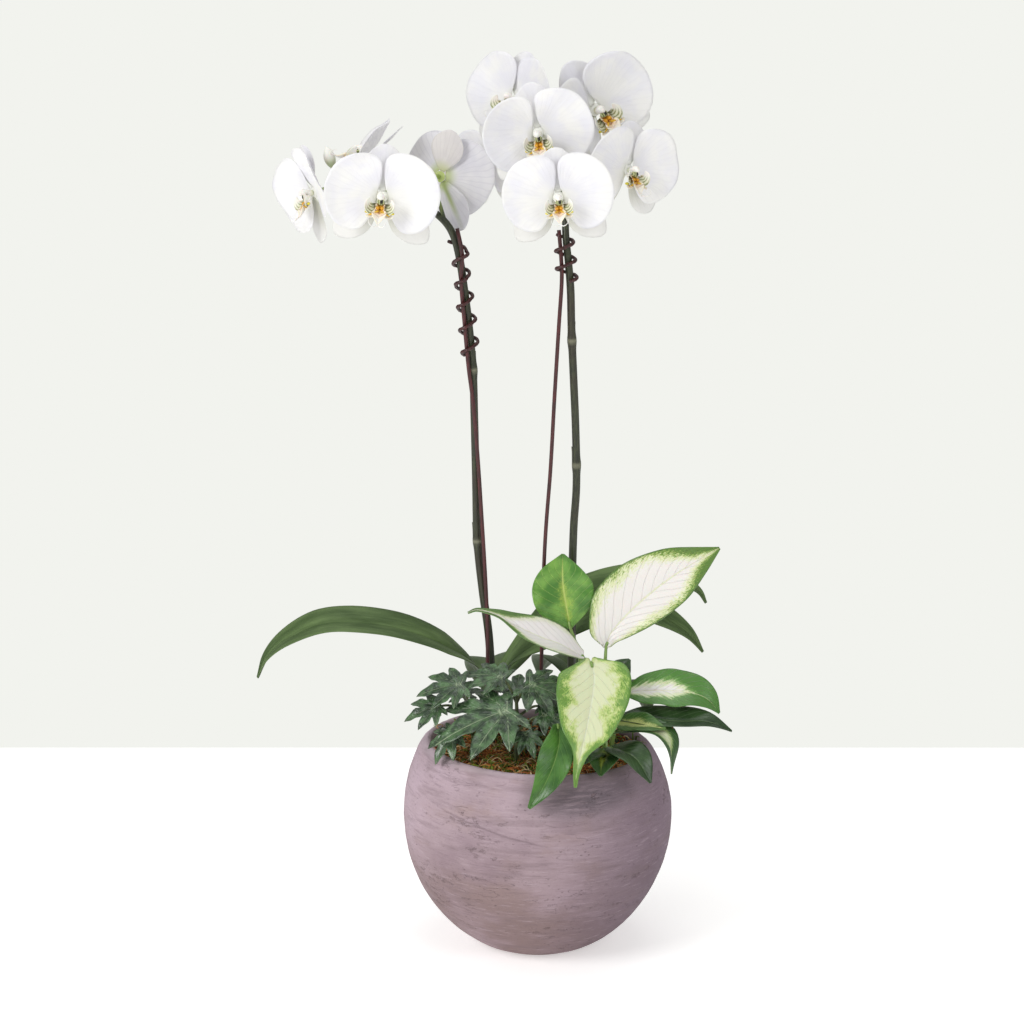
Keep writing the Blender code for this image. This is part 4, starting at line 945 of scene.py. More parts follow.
def build_moss():
    """Cushions of moss, and dry curly fibres that lie in all directions."""
    lumps = Waves(21, 14.0, 9)
    fine = Waves(22, 4.5, 9)
    around = circle(MOSS_SEGMENTS)
    verts = [(0.0, 0.0, moss_height(0, 0))]
    for ring in range(1, MOSS_RINGS + 1):
        radius = MOSS_RADIUS * ring / MOSS_RINGS
        for c, s in around:
            x, y = radius * c, radius * s
            rise = 1.5 * lumps((x, y, 0)) + 0.8 * fine((x, y, 0))
            verts.append((x, y, moss_height(x, y) + rise * (1 - (ring / MOSS_RINGS) ** 8)))
    under = len(verts)
    verts += [((MOSS_RADIUS + 1) * c, (MOSS_RADIUS + 1) * s, MOSS_BOTTOM + RIM_SLOPE * MOSS_RADIUS * c * 0.7)
              for c, s in around]
    last = under - MOSS_SEGMENTS
    faces = []
    for k in range(MOSS_SEGMENTS):
        b = (k + 1) % MOSS_SEGMENTS
        faces.append((0, 1 + k, 1 + b))
        for ring in range(1, last, MOSS_SEGMENTS):
            faces.append((ring + k, ring + MOSS_SEGMENTS + k, ring + MOSS_SEGMENTS + b, ring + b))
        faces.append((last + k, under + k, under + b, last + b))
    faces.append(tuple(under + k for k in range(MOSS_SEGMENTS))[::-1])
    ground = Body()
    ground.add((verts, faces, (0.0, 0.0, 0.0)))
    ground.make("moss_ground", [moss_look()], ["moss_mat"])

    chance = random.Random(31)
    fibres = Body()
    for index in range(FIBRE_COUNT):
        fibres.add(*moss_fibre(index, chance, lumps))
    fibres.make("moss_fibres", [fibre_look()])


def moss_fibre(index, chance, lumps):
    """One curly fibre with its look and tone. The first ones lie over the rim."""
    over_rim = index < RIM_FIBRES
    radius = FIBRE_SPREAD * math.sqrt(chance.random())
    angle = chance.uniform(0, 2 * math.pi)
    if chance.random() < 0.45:
        radius = chance.uniform(45.0, FIBRE_SPREAD)
        angle = chance.uniform(math.pi, 2 * math.pi)
    if over_rim:
        radius = chance.uniform(82.0, 86.0)
    x, y = radius * math.cos(angle), radius * math.sin(angle)
    heading = chance.uniform(0, 2 * math.pi)
    bend = chance.uniform(-0.75, 0.75)
    length = chance.uniform(7.0, 22.0)
    lift = chance.uniform(0.8, 6.0)
    limit = RIM_FIBRE_REACH if over_rim else FIBRE_REACH
    path = []
    for i in range(FIBRE_STEPS + 1):
        turn = heading + bend * (i - FIBRE_STEPS / 2) * 0.8
        if i:
            x += math.cos(turn) * length / FIBRE_STEPS
            y += math.sin(turn) * length / FIBRE_STEPS
        far = math.hypot(x, y)
        if far > limit:
            x, y = x * limit / far, y * limit / far
        arch = math.sin(math.pi * i / FIBRE_STEPS)
        z = moss_height(x, y) - 0.6 + lift * arch + 0.8 * lumps((x, y, 0))
        if over_rim and far > 82.5:
            z = max(z, RIM_FIBRE_LEVEL + rim_shift(x, POT_RIM_Z) + 0.8 * arch)
        path.append((x, y, z))
    width = chance.uniform(0.26, 0.5)
    if index % 4 == 0:
        width = chance.uniform(0.5, 0.85)
    tone = chance.random() ** 0.8 * 0.74
    if chance.random() < 0.30 + 0.18 * math.sin(3 * angle + 1.0):
        tone = chance.uniform(0.76, 1.0)
    return tube_shape(path, [width, width * 0.9, width * 0.4], 3), 0, (tone, 0.0, 0.0)


# Flowers

PETAL_OUTLINE = [(4.0, 2.3), (2.2, 9), (1.0, 17), (1.0, 27), (4.5, 34), (13, 37.5), (25, 36.5), (35, 31),
                 (42, 22), (46.5, 8), (45, -6), (38, -19), (28, -26), (17, -26), (8.5, -16), (4.5, -1.1)]
DORSAL_OUTLINE = [(1.6, 4.3), (8, 11), (14.5, 21), (14, 31), (6.5, 39), (0, 41), (-6.5, 39), (-14, 31),
                  (-14.5, 21), (-8, 11), (-1.6, 4.3)]
LATERAL_OUTLINE = [(4.3, 1.6), (12, 7.5), (26, 13.5), (38, 12.5), (47, 7), (51, 0), (47, -7), (38, -12.5),
                   (26, -13.5), (12, -7.5), (4.3, -1.6)]

FLOWERS = [
    # name, hub, azimuth, rise, roll, size, (left cup, right cup), stalk's distance from the spike's tip
    ("flower_left_1", (-120, -42, 615), -4, -8, 5, 0.98, (0.012, 0.006), 66),
    ("flower_left_2", (-176, 10, 614), -58, -12, -22, 0.94, (0.010, 0.012), 8),
    ("flower_left_3", (-134, 17, 640), -88, 42, 0, 0.92, (0.008, 0.008), 44),
    ("flower_left_4", (-77, 12, 626), 158, -4, -17, 0.92, (0.004, 0.016), 96),
    ("flower_right_1", (14, -60, 616), 0, -8, -4, 0.92, (0.004, 0.004), 82),
    ("flower_right_2", (-1, -24, 662), -3, -14, -9, 0.96, (0.014, 0.006), 70),
    ("flower_right_3", (-19, 38, 684), -40, 8, 7, 0.95, (0.006, 0.008), 0),
    ("flower_right_4", (45, 40, 676), 28, -5, -35, 1.09, (0.010, 0.010), 12),
    ("flower_right_5", (69, -12, 633), 34, -6, 5, 0.92, (0.006, 0.008), 62),
    ("flower_right_6", (-39, 34, 633), -60, 0, -6, 0.8, (0.012, 0.0), 46),
]


def turned_outline(outline, degrees):
    """Outline turned about the flower's centre."""
    c, s = math.cos(math.radians(degrees)), math.sin(math.radians(degrees))
    return [(x * c - y * s, x * s + y * c) for x, y in outline]


def mirrored(outline):
    """Outline for the other side, still running the same way round."""
    return [(-x, y) for x, y in outline][::-1]


def petal_surface(x, y, lift, cup, ripple, phase):
    """Point of a petal surface: level at the hub, lifted beyond it, bowl shaped for a positive cup."""
    reach = math.hypot(x, y)
    out = min(max((reach - HUB_RADIUS) / 4.0, 0.0), 1.0)
    angle = cup * reach
    shrink = math.sin(angle) / angle if abs(angle) > 1e-6 else 1.0
    rise = (1 - math.cos(angle)) / cup if abs(cup) > 1e-6 else 0.0
    rise += lift * out * out * (3 - 2 * out)
    turn = math.atan2(y, x)
    rise += ripple * (reach / 45.0) ** 3 * math.sin(5 * turn + phase)
    rise += 0.16 * math.sin(17 * turn + 2.0 * phase) * min(reach / 24.0, 1.0)
    rise += 0.35 * math.sin(0.19 * x + phase) * math.cos(0.17 * y - phase) * min(reach / 14.0, 1.0)
    return (x * shrink, y * shrink, rise)


def flower_frame(hub, azimuth, rise, roll, size):
    """Function that places flower points, and the flower's front direction."""
    azimuth, rise, roll = (math.radians(a) for a in (azimuth, rise, roll))
    level = math.cos(rise)
    front = np.array([math.sin(azimuth) * level, -math.cos(azimuth) * level, math.sin(rise)])
    right = np.array([math.cos(azimuth), math.sin(azimuth), 0.0])
    top = np.cross(front, right)
    right, top = right * math.cos(roll) - top * math.sin(roll), top * math.cos(roll) + right * math.sin(roll)
    axes = np.array([right, top, front])

    def place(points):
        return vec(hub) + size * (vec(points) @ axes)

    return place, front


def petal_shape(outline, centre, lift, cup, ripple, phase):
    """One petal or sepal on its surface; its short inner edge stays straight."""

    def height(x, y):
        return petal_surface(x, y, lift, cup, ripple, phase)

    def flat_place(x, y):
        return x, y

    smooth = smooth_curve([(x, y, 0.0) for x, y in outline], 58)[:, :2]
    return patch_shape(smooth, height, FINE_PETAL_THICK, 10, centre, flat_place)


def build_petals(looks, name, place, phase, cups):
    """Two broad petals, three sepals and the hub that joins them."""
    petals = Body(place)
    lateral = turned_outline(LATERAL_OUTLINE, LATERAL_ANGLE)
    middle = turned_outline([(25, 0)], LATERAL_ANGLE)[0]
    parts = [(0, PETAL_OUTLINE, (22, 3), cups[1], 0.0),
             (0, mirrored(PETAL_OUTLINE), (-22, 3), cups[0], 180.0),
             (1, DORSAL_OUTLINE, (0, 25), SEPAL_BEND, 90.0),
             (2, lateral, middle, SEPAL_BEND, LATERAL_ANGLE),
             (2, mirrored(lateral), (-middle[0], middle[1]), SEPAL_BEND, 180.0 - LATERAL_ANGLE)]
    for kind, outline, centre, cup, heading in parts:
        lift, ripple = (SEPAL_LIFT, SEPAL_RIPPLE) if kind else (PETAL_LIFT, PETAL_RIPPLE)
        shape = petal_shape(outline, centre, lift, cup, ripple, phase)
        x, y = shape[2][:, 0], shape[2][:, 1]
        c, s = math.cos(math.radians(heading)), math.sin(math.radians(heading))
        petals.add(shape, 0, np.column_stack([np.full(len(x), float(kind)), y * c - x * s, x * c + y * s]))
    hub = ball_shape((0, 0, HUB_MIDDLE), (5.0, 5.0, 2.1), 8, 20)
    x, y, z = hub[2].T
    petals.add(hub, spots=np.column_stack([x, y, np.sign(z - HUB_MIDDLE)]))
    petals.make(name + "_bloom", [looks["petal"]], [name + "_petals"])


def build_lip(looks, name, place):
    """Lip with its column, throat, wings, ears, callus, tongue and tendrils."""
    hood, wing, tongue, callus, throat = range(5)
    lip = Body(place)
    base = HUB_FRONT + PART_GAP
    column = [(0, 0, base), (0, 0.3, base + 2.5), (0, 1.9, 8.0), (0, 2.3, 11.0), (0, 1.2, 13.8)]
    radii = smooth_profile([2.3, 2.2, 2.5, 2.9, 2.6, 0.9], np.linspace(0, 1, 14))
    lip.add(tube_shape(smooth_curve(column, 14), radii, 16), hood)
    lip.add(ball_shape((0.3, -1.9, 9.6), (3.0, 2.7, 2.6), 10, 16), throat)
    for way in (-1, 1):
        side = np.array([way, 1.0, 1.0])
        rib = side * [(1.6, -5.0, 7.0), (5.4, -7.2, 10.4), (8.4, -5.8, 12.6), (9.6, -2.0, 13.6),
                      (8.4, 1.6, 13.0)]
        face = side * [(-0.2, 0.8, 0.7), (-0.5, 0.6, 0.7), (-0.9, 0.1, 0.5)]
        blade = blade_grid(rib, face, [1.6, 4.4, 5.6, 5.0, 3.0, 0.8], 14, 5, groove=0.0)
        lip.add(sheet_shape(blade, 0.6, scale=(way, 1.0)), wing)
        lip.add(ball_shape(side * (9.6, -9.6, 13.2), (2.1, 1.2, 1.2), 6, 10), callus, (1.0, 0.0, 0.0))
        lip.add(ball_shape(side * (1.8, -6.3, 11.4), (1.7, 1.3, 2.3), 7, 12), callus)
        prong = side * [(1.0, -8.6, 12.6), (3.4, -9.2, 14.6), (6.0, -10.4, 15.6), (8.2, -11.6, 15.0)]
        lip.add(tube_shape(smooth_curve(prong, 12), [0.9, 0.8, 0.7, 0.4], 8), callus, (0.4, 0.0, 0.0))
        frill = side * [(3.0, -9.0, 11.2), (6.2, -11.6, 13.4), (8.8, -12.6, 14.6), (10.6, -11.8, 14.6)]
        blade = blade_grid(frill, (0, 0.9, 0.5), [1.4, 2.6, 2.8, 0.6], 12, 4, curl=20, wave=0.7, groove=0.0)
        lip.add(sheet_shape(blade, 0.5, scale=(1.0, 0.0), shift=(0.0, 1.0)), tongue)
        tendril = side * [(0.5, -16.6, 22.4), (1.6, -17.8, 25.0), (4.2, -17.2, 26.8), (6.6, -14.8, 26.4),
                          (6.8, -12.6, 24.6)]
        tendril = tube_shape(smooth_curve(tendril, 16), [0.55, 0.4, 0.3, 0.15], 7)
        lip.add(tendril, hood, spots=(0.0, 1.0, 0.0))
    rib = [(0, -3.6, 5.6), (0, -8.0, 11.0), (0, -12.2, 15.2), (0, -15.4, 19.0), (0, -17.0, 23.0)]
    blade = blade_grid(rib, (0, 1, 0.5), [2.4, 4.4, 4.2, 6.6, 5.6, 2.6, 0.6], 24, 6, fold=18, curl=26,
                       groove=0.5)
    lip.add(sheet_shape(blade, 0.9), tongue)
    lip.make(name + "_lip_detail", looks["lip"], [name + "_lip"])


LEFT_SPIKE = [(-37, 20, STEM_FOOT), (-37, 20, STEM_STRAIGHT_TOP), (-38, 19, 215), (-40, 17, 254),
              (-45, 16, 292), (-49, 15, 333), (-50, 13, 383), (-51, 10, 433), (-52, 6, 474), (-55, 2, 510),
              (-59, -2, 543), (-62, -5, 564), (-66, -6, 580), (-72, -6, 591), (-82, -3, 600), (-95, 4, 608),
              (-110, 10, 614), (-126, 14, 619), (-142, 17, 624), (-157, 19, 630)]
RIGHT_SPIKE = [(28, 27, STEM_FOOT), (28, 27, STEM_STRAIGHT_TOP), (28, 27, 246), (28, 26, 289),
               (29, 24, 340), (31, 20, 378), (30, 14, 424), (28, 8, 466), (26, 2, 506), (25, -2, 539),
               (23, -4, 562), (21, -3, 582), (21, 4, 600), (22, 12, 618), (22, 20, 636), (20, 27, 652),
               (12, 33, 666)]
LEFT_STAKE_FOOT = [(-42, 8, STEM_FOOT), (-42, 8, STEM_STRAIGHT_TOP), (-41, 9, 263)]
RIGHT_STAKE_FOOT = [(2, 17, STEM_FOOT), (2, 17, STEM_STRAIGHT_TOP), (5, 14, 315)]
# Height, and the distance from the spike there
LEFT_STAKE_BESIDE = [(368, 3.6, -6.0), (440, 0.0, -6.0), (478, -3.3, -4.9), (519, -2.9, -5.2),
                     (547, -1.4, -5.8), (568, 3.0, -6.4), (588, 6.2, -6.4)]
RIGHT_STAKE_BESIDE = [(394, -21.0, -10.0), (452, -16.0, -8.0), (510, -10.0, -5.0), (546, -6.6, -4.0),
                      (566, -5.3, -3.6), (586, -5.3, -3.6)]


def build_spike(side, path, nodes, flowers, looks):
    """Spike with swollen ringed nodes, their sheaths and a stalk to every flower."""
    length = run_length(path)
    radii = []
    rings = []
    for p, share in zip(path, length / length[-1]):
        radius = SPIKE_FOOT_RADIUS + (SPIKE_RADIUS - SPIKE_FOOT_RADIUS) * min(share / 0.5, 1.0)
        radius -= max(share - SPIKE_TAPER_FROM, 0.0) / (1 - SPIKE_TAPER_FROM) * SPIKE_TAPER
        near = min(abs(p[2] - z) for z in nodes)
        radii.append(radius + NODE_SWELLING * math.exp(-(near / 5.0) ** 2))
        rings.append(math.exp(-(near / 1.6) ** 2))
    body = Body()
    rings = np.repeat(rings, SPIKE_SIDES)
    body.add(tube_shape(path, radii, SPIKE_SIDES), 0, np.column_stack([rings * 0, rings, rings * 0]))
    for index, z in enumerate(nodes):
        turn = 0.6 + 2.2 * index
        out = np.array([math.cos(turn), math.sin(turn), 0.0])
        rib = [at_height(path, z + step) + out * (SPIKE_RADIUS + gap)
               for step, gap in ((0.0, 0.5), (5.0, 0.5), (10.0, 0.45), (15.0, 0.7))]
        blade = blade_grid(rib, out, [3.4, 3.0, 1.8, 0.3], 12, 5, fold=-28, curl=-60, groove=0.0)
        body.add(sheet_shape(blade, 0.5), 0, (0.0, 0.45, 0.0))
    for from_tip, end, direction in flowers:
        place = max(length[-1] - from_tip, 0.0) - 0.5
        start = np.array([np.interp(place, length, path[:, axis]) for axis in range(3)])
        neck = end + direction * 3.0
        reach = np.linalg.norm(neck - start)
        lead = neck + direction * reach * 0.42
        drift = start + (lead - start) * 0.35 + np.array([0, 0, reach * 0.10])
        curve = np.vstack([bezier([start, drift, lead, neck], 20), end])
        fade = np.repeat(np.clip(np.linspace(-0.1, 1.6, len(curve)), 0, 1), STALK_SIDES)
        body.add(tube_shape(curve, [STALK_RADIUS * 1.1, STALK_RADIUS, STALK_RADIUS, 1.7], STALK_SIDES), 0,
                 np.column_stack([fade, fade * 0, fade * 0]))
    body.make("spike_stem_" + side, [looks["spike"]], ["orchid_spike_" + side])


def build_stake(side, foot, beside, spike, looks):
    """Stake that leans to its spike and runs along it; returns its path."""
    points = [vec(p) for p in foot]
    points += [at_height(spike, z) + np.array([dx, dy, 0.0]) for z, dx, dy in beside]
    path = np.vstack([points[0], points[1], smooth_curve(points[1:], 60)[1:]])
    body = Body()
    body.add(tube_shape(path, [STAKE_RADIUS] * len(path), 12))
    body.make("stake_rod_" + side, [looks["stake"]], ["stake_" + side])
    return path


def build_tie(side, spike, stake, top, bottom, turns, looks):
    """Twisted wire wound round spike and stake, a smooth curve through the part's corners."""
    count = int(turns * TIE_CORNERS)
    path = []
    for i in range(count + 1):
        share = i / count
        z = top + (bottom - top) * share
        a = at_height(spike, z)
        b = at_height(stake, z)
        middle = a * TIE_ROUND_SPIKE + b * (1 - TIE_ROUND_SPIKE)
        angle = TIE_START - 2 * math.pi * turns * share
        ray = np.array([math.cos(angle), math.sin(angle)])
        need = max(np.dot((a - middle)[:2], ray) + SPIKE_RADIUS + TIE_SLACK,
                   np.dot((b - middle)[:2], ray) + STAKE_RADIUS)
        reach = (need + TIE_GAP + TIE_WIRE) / math.cos(math.pi / TIE_CORNERS)
        path.append((middle[0] + reach * ray[0], middle[1] + reach * ray[1], z))
    curve = smooth_curve(path, count * TIE_FINER)

    def ridge(angle, share):
        return 1.0 + 0.10 * math.sin(2 * angle + share * count * 5.0)

    body = Body()
    body.add(tube_shape(curve, [TIE_WIRE] * len(curve), 10, ridge))
    body.make("tie_wire_" + side, [looks["tie"]], ["tie_" + side])


def bud_seam(angle, _):
    """Three faint seams along the bud."""
    return 1.0 - 0.07 * abs(math.cos(1.5 * angle)) ** 12


def build_orchids(looks):
    """All flowers, the bud, both spikes, their stakes and ties."""
    ends = {"left": [], "right": []}
    for name, hub, azimuth, rise, roll, size, cups, from_tip in FLOWERS:
        place, front = flower_frame(hub, azimuth, rise, roll, size)
        build_petals(looks, name, place, hub[0] * 0.7 + hub[2], cups)
        build_lip(looks, name, place)
        stalk_end = place((0, 0, HUB_BACK - PART_GAP))
        ends["left" if "left" in name else "right"].append((from_tip, stalk_end, -front))
    base, axis = vec(BUD_BASE), vec(BUD_AXIS)
    share = np.linspace(0.0, 1.0, 26)
    swell = smooth_profile([0.3, 0.72, 0.95, 1.0, 0.86, 0.55, 0.1], share)
    bud = Body()
    bud.add(tube_shape([base + axis * BUD_LENGTH * h for h in share], BUD_RADIUS * swell, 30, bud_seam))
    bud.make("bud_closed", [bud_look()], ["flower_bud_left"])
    ends["left"].append((0, base - axis * PART_GAP, -unit(axis)))
    left = rooted(LEFT_SPIKE, SPIKE_STEPS)
    right = rooted(RIGHT_SPIKE, SPIKE_STEPS)
    build_spike("left", left, LEFT_SPIKE_NODES, ends["left"], looks)
    build_spike("right", right, RIGHT_SPIKE_NODES, ends["right"], looks)
    left_stake = build_stake("left", LEFT_STAKE_FOOT, LEFT_STAKE_BESIDE, left, looks)
    right_stake = build_stake("right", RIGHT_STAKE_FOOT, RIGHT_STAKE_BESIDE, right, looks)
    build_tie("left", left, left_stake, *LEFT_TIE, looks)
    build_tie("right", right, right_stake, *RIGHT_TIE, looks)


# Leaves

ORCHID_LEAVES = [
    # name, midrib, face direction from base to tip, half widths, fold, curl
    ("orchid_leaf_left", [(-45.2, 39.1, 200), (-47, 38, 212), (-55, 32, 226), (-70, 24, 239), (-92, 16, 252),
                          (-120, 10, 262), (-152, 5, 267), (-178, 0, 266), (-203, -3, 255), (-219, -5, 241),
                          (-227, -6, 224)],
     [(0.6, 0.25, 0.5), (0, -0.38, 1), (0, -0.34, 1), (-0.4, -0.35, 0.8), (-1, -0.3, 0.2)],
     [5, 11, 16, 19, 20, 19.5, 17, 11, 2], 16, -10),
    ("orchid_leaf_right_long", [(-33.2, 48.2, 196), (-30, 51, 207), (-20, 59, 218), (-8, 66, 231),
                                (6, 72, 246), (26, 76, 264), (53, 78, 277), (86, 74, 287), (112, 66, 288),
                                (132, 58, 281), (140, 54, 271)],
     [(-0.5, -0.6, 0.6), (-0.3, -0.5, 0.8), (-0.1, -0.6, 0.8), (0.3, -0.5, 0.8), (0.6, -0.4, 0.6)],
     [5, 11, 15, 18, 18, 17, 14, 9, 1.5], 20, -12),
    ("orchid_leaf_left_back", [(-39, 50.4, 192), (-38, 62, 205), (-38, 84, 211), (-41, 108, 208),
                               (-45, 130, 194), (-48, 146, 172)],
     [(0, -0.5, 0.8), (0, 0, 1), (-0.2, 0.4, 0.8), (-0.2, 0.7, 0.5)], [5, 14, 20, 20, 15, 2], 16, -8),
    ("orchid_leaf_right", [(-30.2, 39.7, 204), (-28.5, 39, 213), (-23, 39, 222), (-12, 41, 232),
                           (11, 43, 247), (34, 46, 259), (57, 46, 268), (80, 43, 270), (102, 38, 263),
                           (123, 32, 251), (136, 28, 236)],
     [(-0.8, 0.2, 0.5), (-0.2, -0.6, 0.8), (0, -0.6, 0.8), (0.4, -0.6, 0.7), (0.7, -0.5, 0.4)],
     [4, 9, 13, 16, 17, 16, 14, 9, 1.5], 18, -10),
    ("orchid_leaf_right_back", [(47.5, 53.9, 180), (58, 68, 189), (70, 92, 192), (82, 114, 185),
                                (92, 132, 169), (97, 144, 149)],
     [(0, -0.4, 0.8), (0, 0, 1), (0.4, 0.5, 0.8), (0.5, 0.7, 0.5)], [4, 14, 20, 20, 14, 2], 16, -8),
    ("orchid_leaf_back", [(41.3, 54.2, 188), (34, 70, 204), (21, 92, 212), (10, 116, 206), (2, 134, 188)],
     [(0, -0.4, 0.8), (0, 0, 1), (-0.2, 0.5, 0.8), (-0.2, 0.8, 0.5)], [4, 14, 19, 15, 2], 16, -8),
]
CROWNS = [("orchid_crown_left", -38, 42, 216), ("orchid_crown_right", 44, 47, 204)]

BROAD_LEAVES = [
    # name, look, slot, stalk foot, stalk bends, midrib, face directions, half widths, fold, curl, wave,
    # notch, blunt, stalk radius
    ("variegated_leaf_upright", "upright", "leaf_bright_green", (41, 4), [(40, 6, 205), (34, 7, 238)],
     [(26, 5, 263.5), (23, 5, 280.5), (20, 6, 300.5), (20, 8, 323.5)],
     [(0.1, -1, 0.25), (0.05, -1, 0.3)], [[3, 20, 26.5, 26, 18, 1.2], [3, 18, 23.5, 24, 16, 1.2]],
     10, 6, 1.0, 1.0, 0.0, 2.0),
    ("variegated_leaf_large", "large", "leaf_cream_green", (51, -6), [(52, -7, 205), (54, -9, 234)],
     [(55, -9, 251), (60, -7, 263), (82, 0, 285), (112, 8, 307), (147, 14, 327)],
     [(-0.15, -1, 0.35), (-0.1, -1, 0.5), (0.1, -1, 0.6)],
     [[9, 29, 33, 31, 24, 13, 1.2], [5, 15, 22, 24, 22, 13, 1.2]], 8, 4, 1.2, 1.5, 0.06, 2.0),
    ("variegated_leaf_left", "pale", "leaf_cream_green", (34, -10), [(36, -12, 205), (38, -14, 232)],
     [(36, -17, 245), (32, -18, 247), (17, -23, 257), (1, -27, 264), (-21, -31, 276), (-34, -34, 284),
      (-48, -36, 288), (-56, -37, 286)],
     [(0.1, -0.4, 0.95), (0.1, -0.5, 0.9), (0.0, -0.4, 0.95)], [6, 17, 19, 16, 9, 4, 1.2],
     14, 4, 0.8, 0.5, 0.0, 2.0),
    ("variegated_leaf_front", "front", "leaf_cream_green", (45, -20), [(46, -25, 200), (45, -35, 230)],
     [(42, -44, 247), (44, -58, 237), (41, -74, 221), (37, -90, 206), (32, -103, 189), (29, -109, 178),
      (28, -112, 166)],
     [(0.05, -0.8, 0.8), (0, -1, 0.6), (-0.05, -1, 0.3)], [17, 28, 30, 28.5, 24.5, 18.6, 7, 3.2, 1.2],
     10, 6, 1.0, 5.0, 0.10, 2.0),
    ("variegated_leaf_right", "right", "leaf_cream_green", (60, -16), [(63, -20, 195), (66, -26, 212)],
     [(69, -33, 219), (85, -37, 222), (105, -40, 223), (122, -43, 222), (135, -45, 217), (144, -46, 206)],
     [(0, -0.6, 0.85), (0, -0.65, 0.8), (0.4, -0.6, 0.7)], [4, 15, 18, 18, 12, 1.2], 12, 4, 1.2,
     0.5, 0.0, 2.0),
    ("green_leaf_front", "mid", "leaf_mid_green", (10, -60), [(10, -62, 184), (12, -67, 199)],
     [(15, -74, 205), (16, -86, 196), (12, -98, 182), (4, -109, 167), (-8, -115, 150)],
     [(0, -0.8, 0.8), (0, -1, 0.5), (0, -1, 0.35)], [4, 11, 14, 12, 7, 1.2], 14, 6, 0.8, 0.5, 0.0, 1.8),
]

LEAFY_FOOT = (53, -51)
LEAFY_STEM = [(53, -51, 205), (54, -51, 224)]
LEAFY_LEAVES = [
    # look index, midrib, face directions, half widths
    (1, [(61, -52, 203), (84, -55, 204), (112, -58, 203), (134, -59, 203), (153, -59, 195)],
     (0, -0.35, 1), [3, 13, 15, 11, 1.2]),
    (2, [(60, -56, 200), (72, -63, 202), (86, -69, 203), (100, -73, 201)], (0, -0.5, 1),
     [2.5, 11, 12, 8, 1.2]),
    (3, [(60, -57, 193), (81, -66, 200), (95, -72, 198), (103, -79, 188), (104, -85, 168)],
     [(0, -0.3, 1), (0, -0.3, 1), (0.7, -0.5, 0.5), (1, -0.3, 0)], [2, 9, 12, 12, 7, 1.2]),
    (1, [(56, -60, 182), (65, -80, 186), (77, -90, 181), (87, -98, 165)], [(0, -0.4, 1), (0.3, -0.6, 0.8)],
     [2.5, 12, 14, 10, 1.2]),
    (4, [(52, -59, 180), (51, -76, 180), (49, -88, 176), (48, -96, 170)], [(0, -0.4, 1), (0, -0.8, 0.6)],
     [3, 12, 14, 10, 1.2]),
    (1, [(50, -58, 176), (43, -71, 181), (35, -82, 180), (28, -89, 175)], [(0, -0.4, 1), (-0.2, -0.7, 0.7)],
     [3, 10, 12, 8, 1.2]),
    (1, [(59, -44, 222), (62, -38, 232), (67, -34, 240), (73, -30, 246)], (0, -0.7, 0.8),
     [2.5, 9, 11, 8, 1.2]),
]

LOBED = [
    # name, foot, stem bends, leaves: centre, tip direction, face direction, reach
    ("lobed_stem_front", (-18, -50), [(-18, -50, 180), (-19, -50, 200)],
     [((-25, -53, 210), (-0.93, -0.36, -0.1), (-0.05, -0.45, 0.9), 62),
      ((3, -51, 206), (0.9, -0.15, -0.15), (0.05, -0.5, 0.85), 32),
      ((-10, -62, 194), (0.3, -0.8, -0.5), (0.0, -0.6, 0.8), 23)]),
    ("lobed_stem_left", (-52, -24), [(-53, -26, 190), (-55, -27, 212)],
     [((-62, -30, 225), (-0.98, -0.1, 0.0), (-0.1, -0.5, 0.85), 37),
      ((-80, -36, 209), (-0.9, -0.1, -0.25), (-0.2, -0.5, 0.8), 30),
      ((-68, -52, 192), (-0.6, -0.55, -0.5), (-0.4, -0.6, 0.7), 29),
      ((-62, -8, 209), (-0.25, 0.9, 0.2), (0.0, -0.4, 0.9), 29)]),
    ("lobed_stem_back", (-16, -22), [(-17, -24, 200), (-18, -26, 218)],
     [((-29, -28, 230), (-0.8, 0.3, 0.1), (-0.05, -0.38, 0.93), 36),
      ((-7, -33, 226), (0.9, -0.35, -0.15), (0.05, -0.45, 0.9), 44),
      ((4, -26, 206), (0.9, -0.2, -0.1), (0.0, -0.4, 0.9), 26),
      ((-18, -6, 210), (0.1, 0.9, 0.2), (0.0, -0.4, 0.9), 33)]),
]
# Angle and length of each lobe, round the leaf
LOBES = [(-112, 0.45), (-71, 0.66), (-35, 0.86), (0, 1.0), (35, 0.86), (71, 0.66), (112, 0.45)]


def build_broad_leaf(looks, name, look, slot, foot, bends, rib, face, widths, fold, curl, wave, notch, blunt,
                     radius):
    """Broad leaf with sunken side veins on its own stalk."""
    blade = blade_grid(rib, face, widths, 44, 11, fold, curl, wave, notch=notch, blunt=blunt, groove=0.7,
                       veins=11, relief=0.5, lean=0.32)
    body = Body()
    body.add(sheet_shape(blade, 1.1))
    path = stem_path(foot, [*bends, rib[0]], vec(rib[0]) * 0.72 + vec(rib[1]) * 0.28)
    body.add(tube_shape(path, [radius, radius, radius, radius * 0.8, radius * 0.55], 12), 1)
    body.make(name + "_fine", [looks[look], looks["stalk"]], [name])


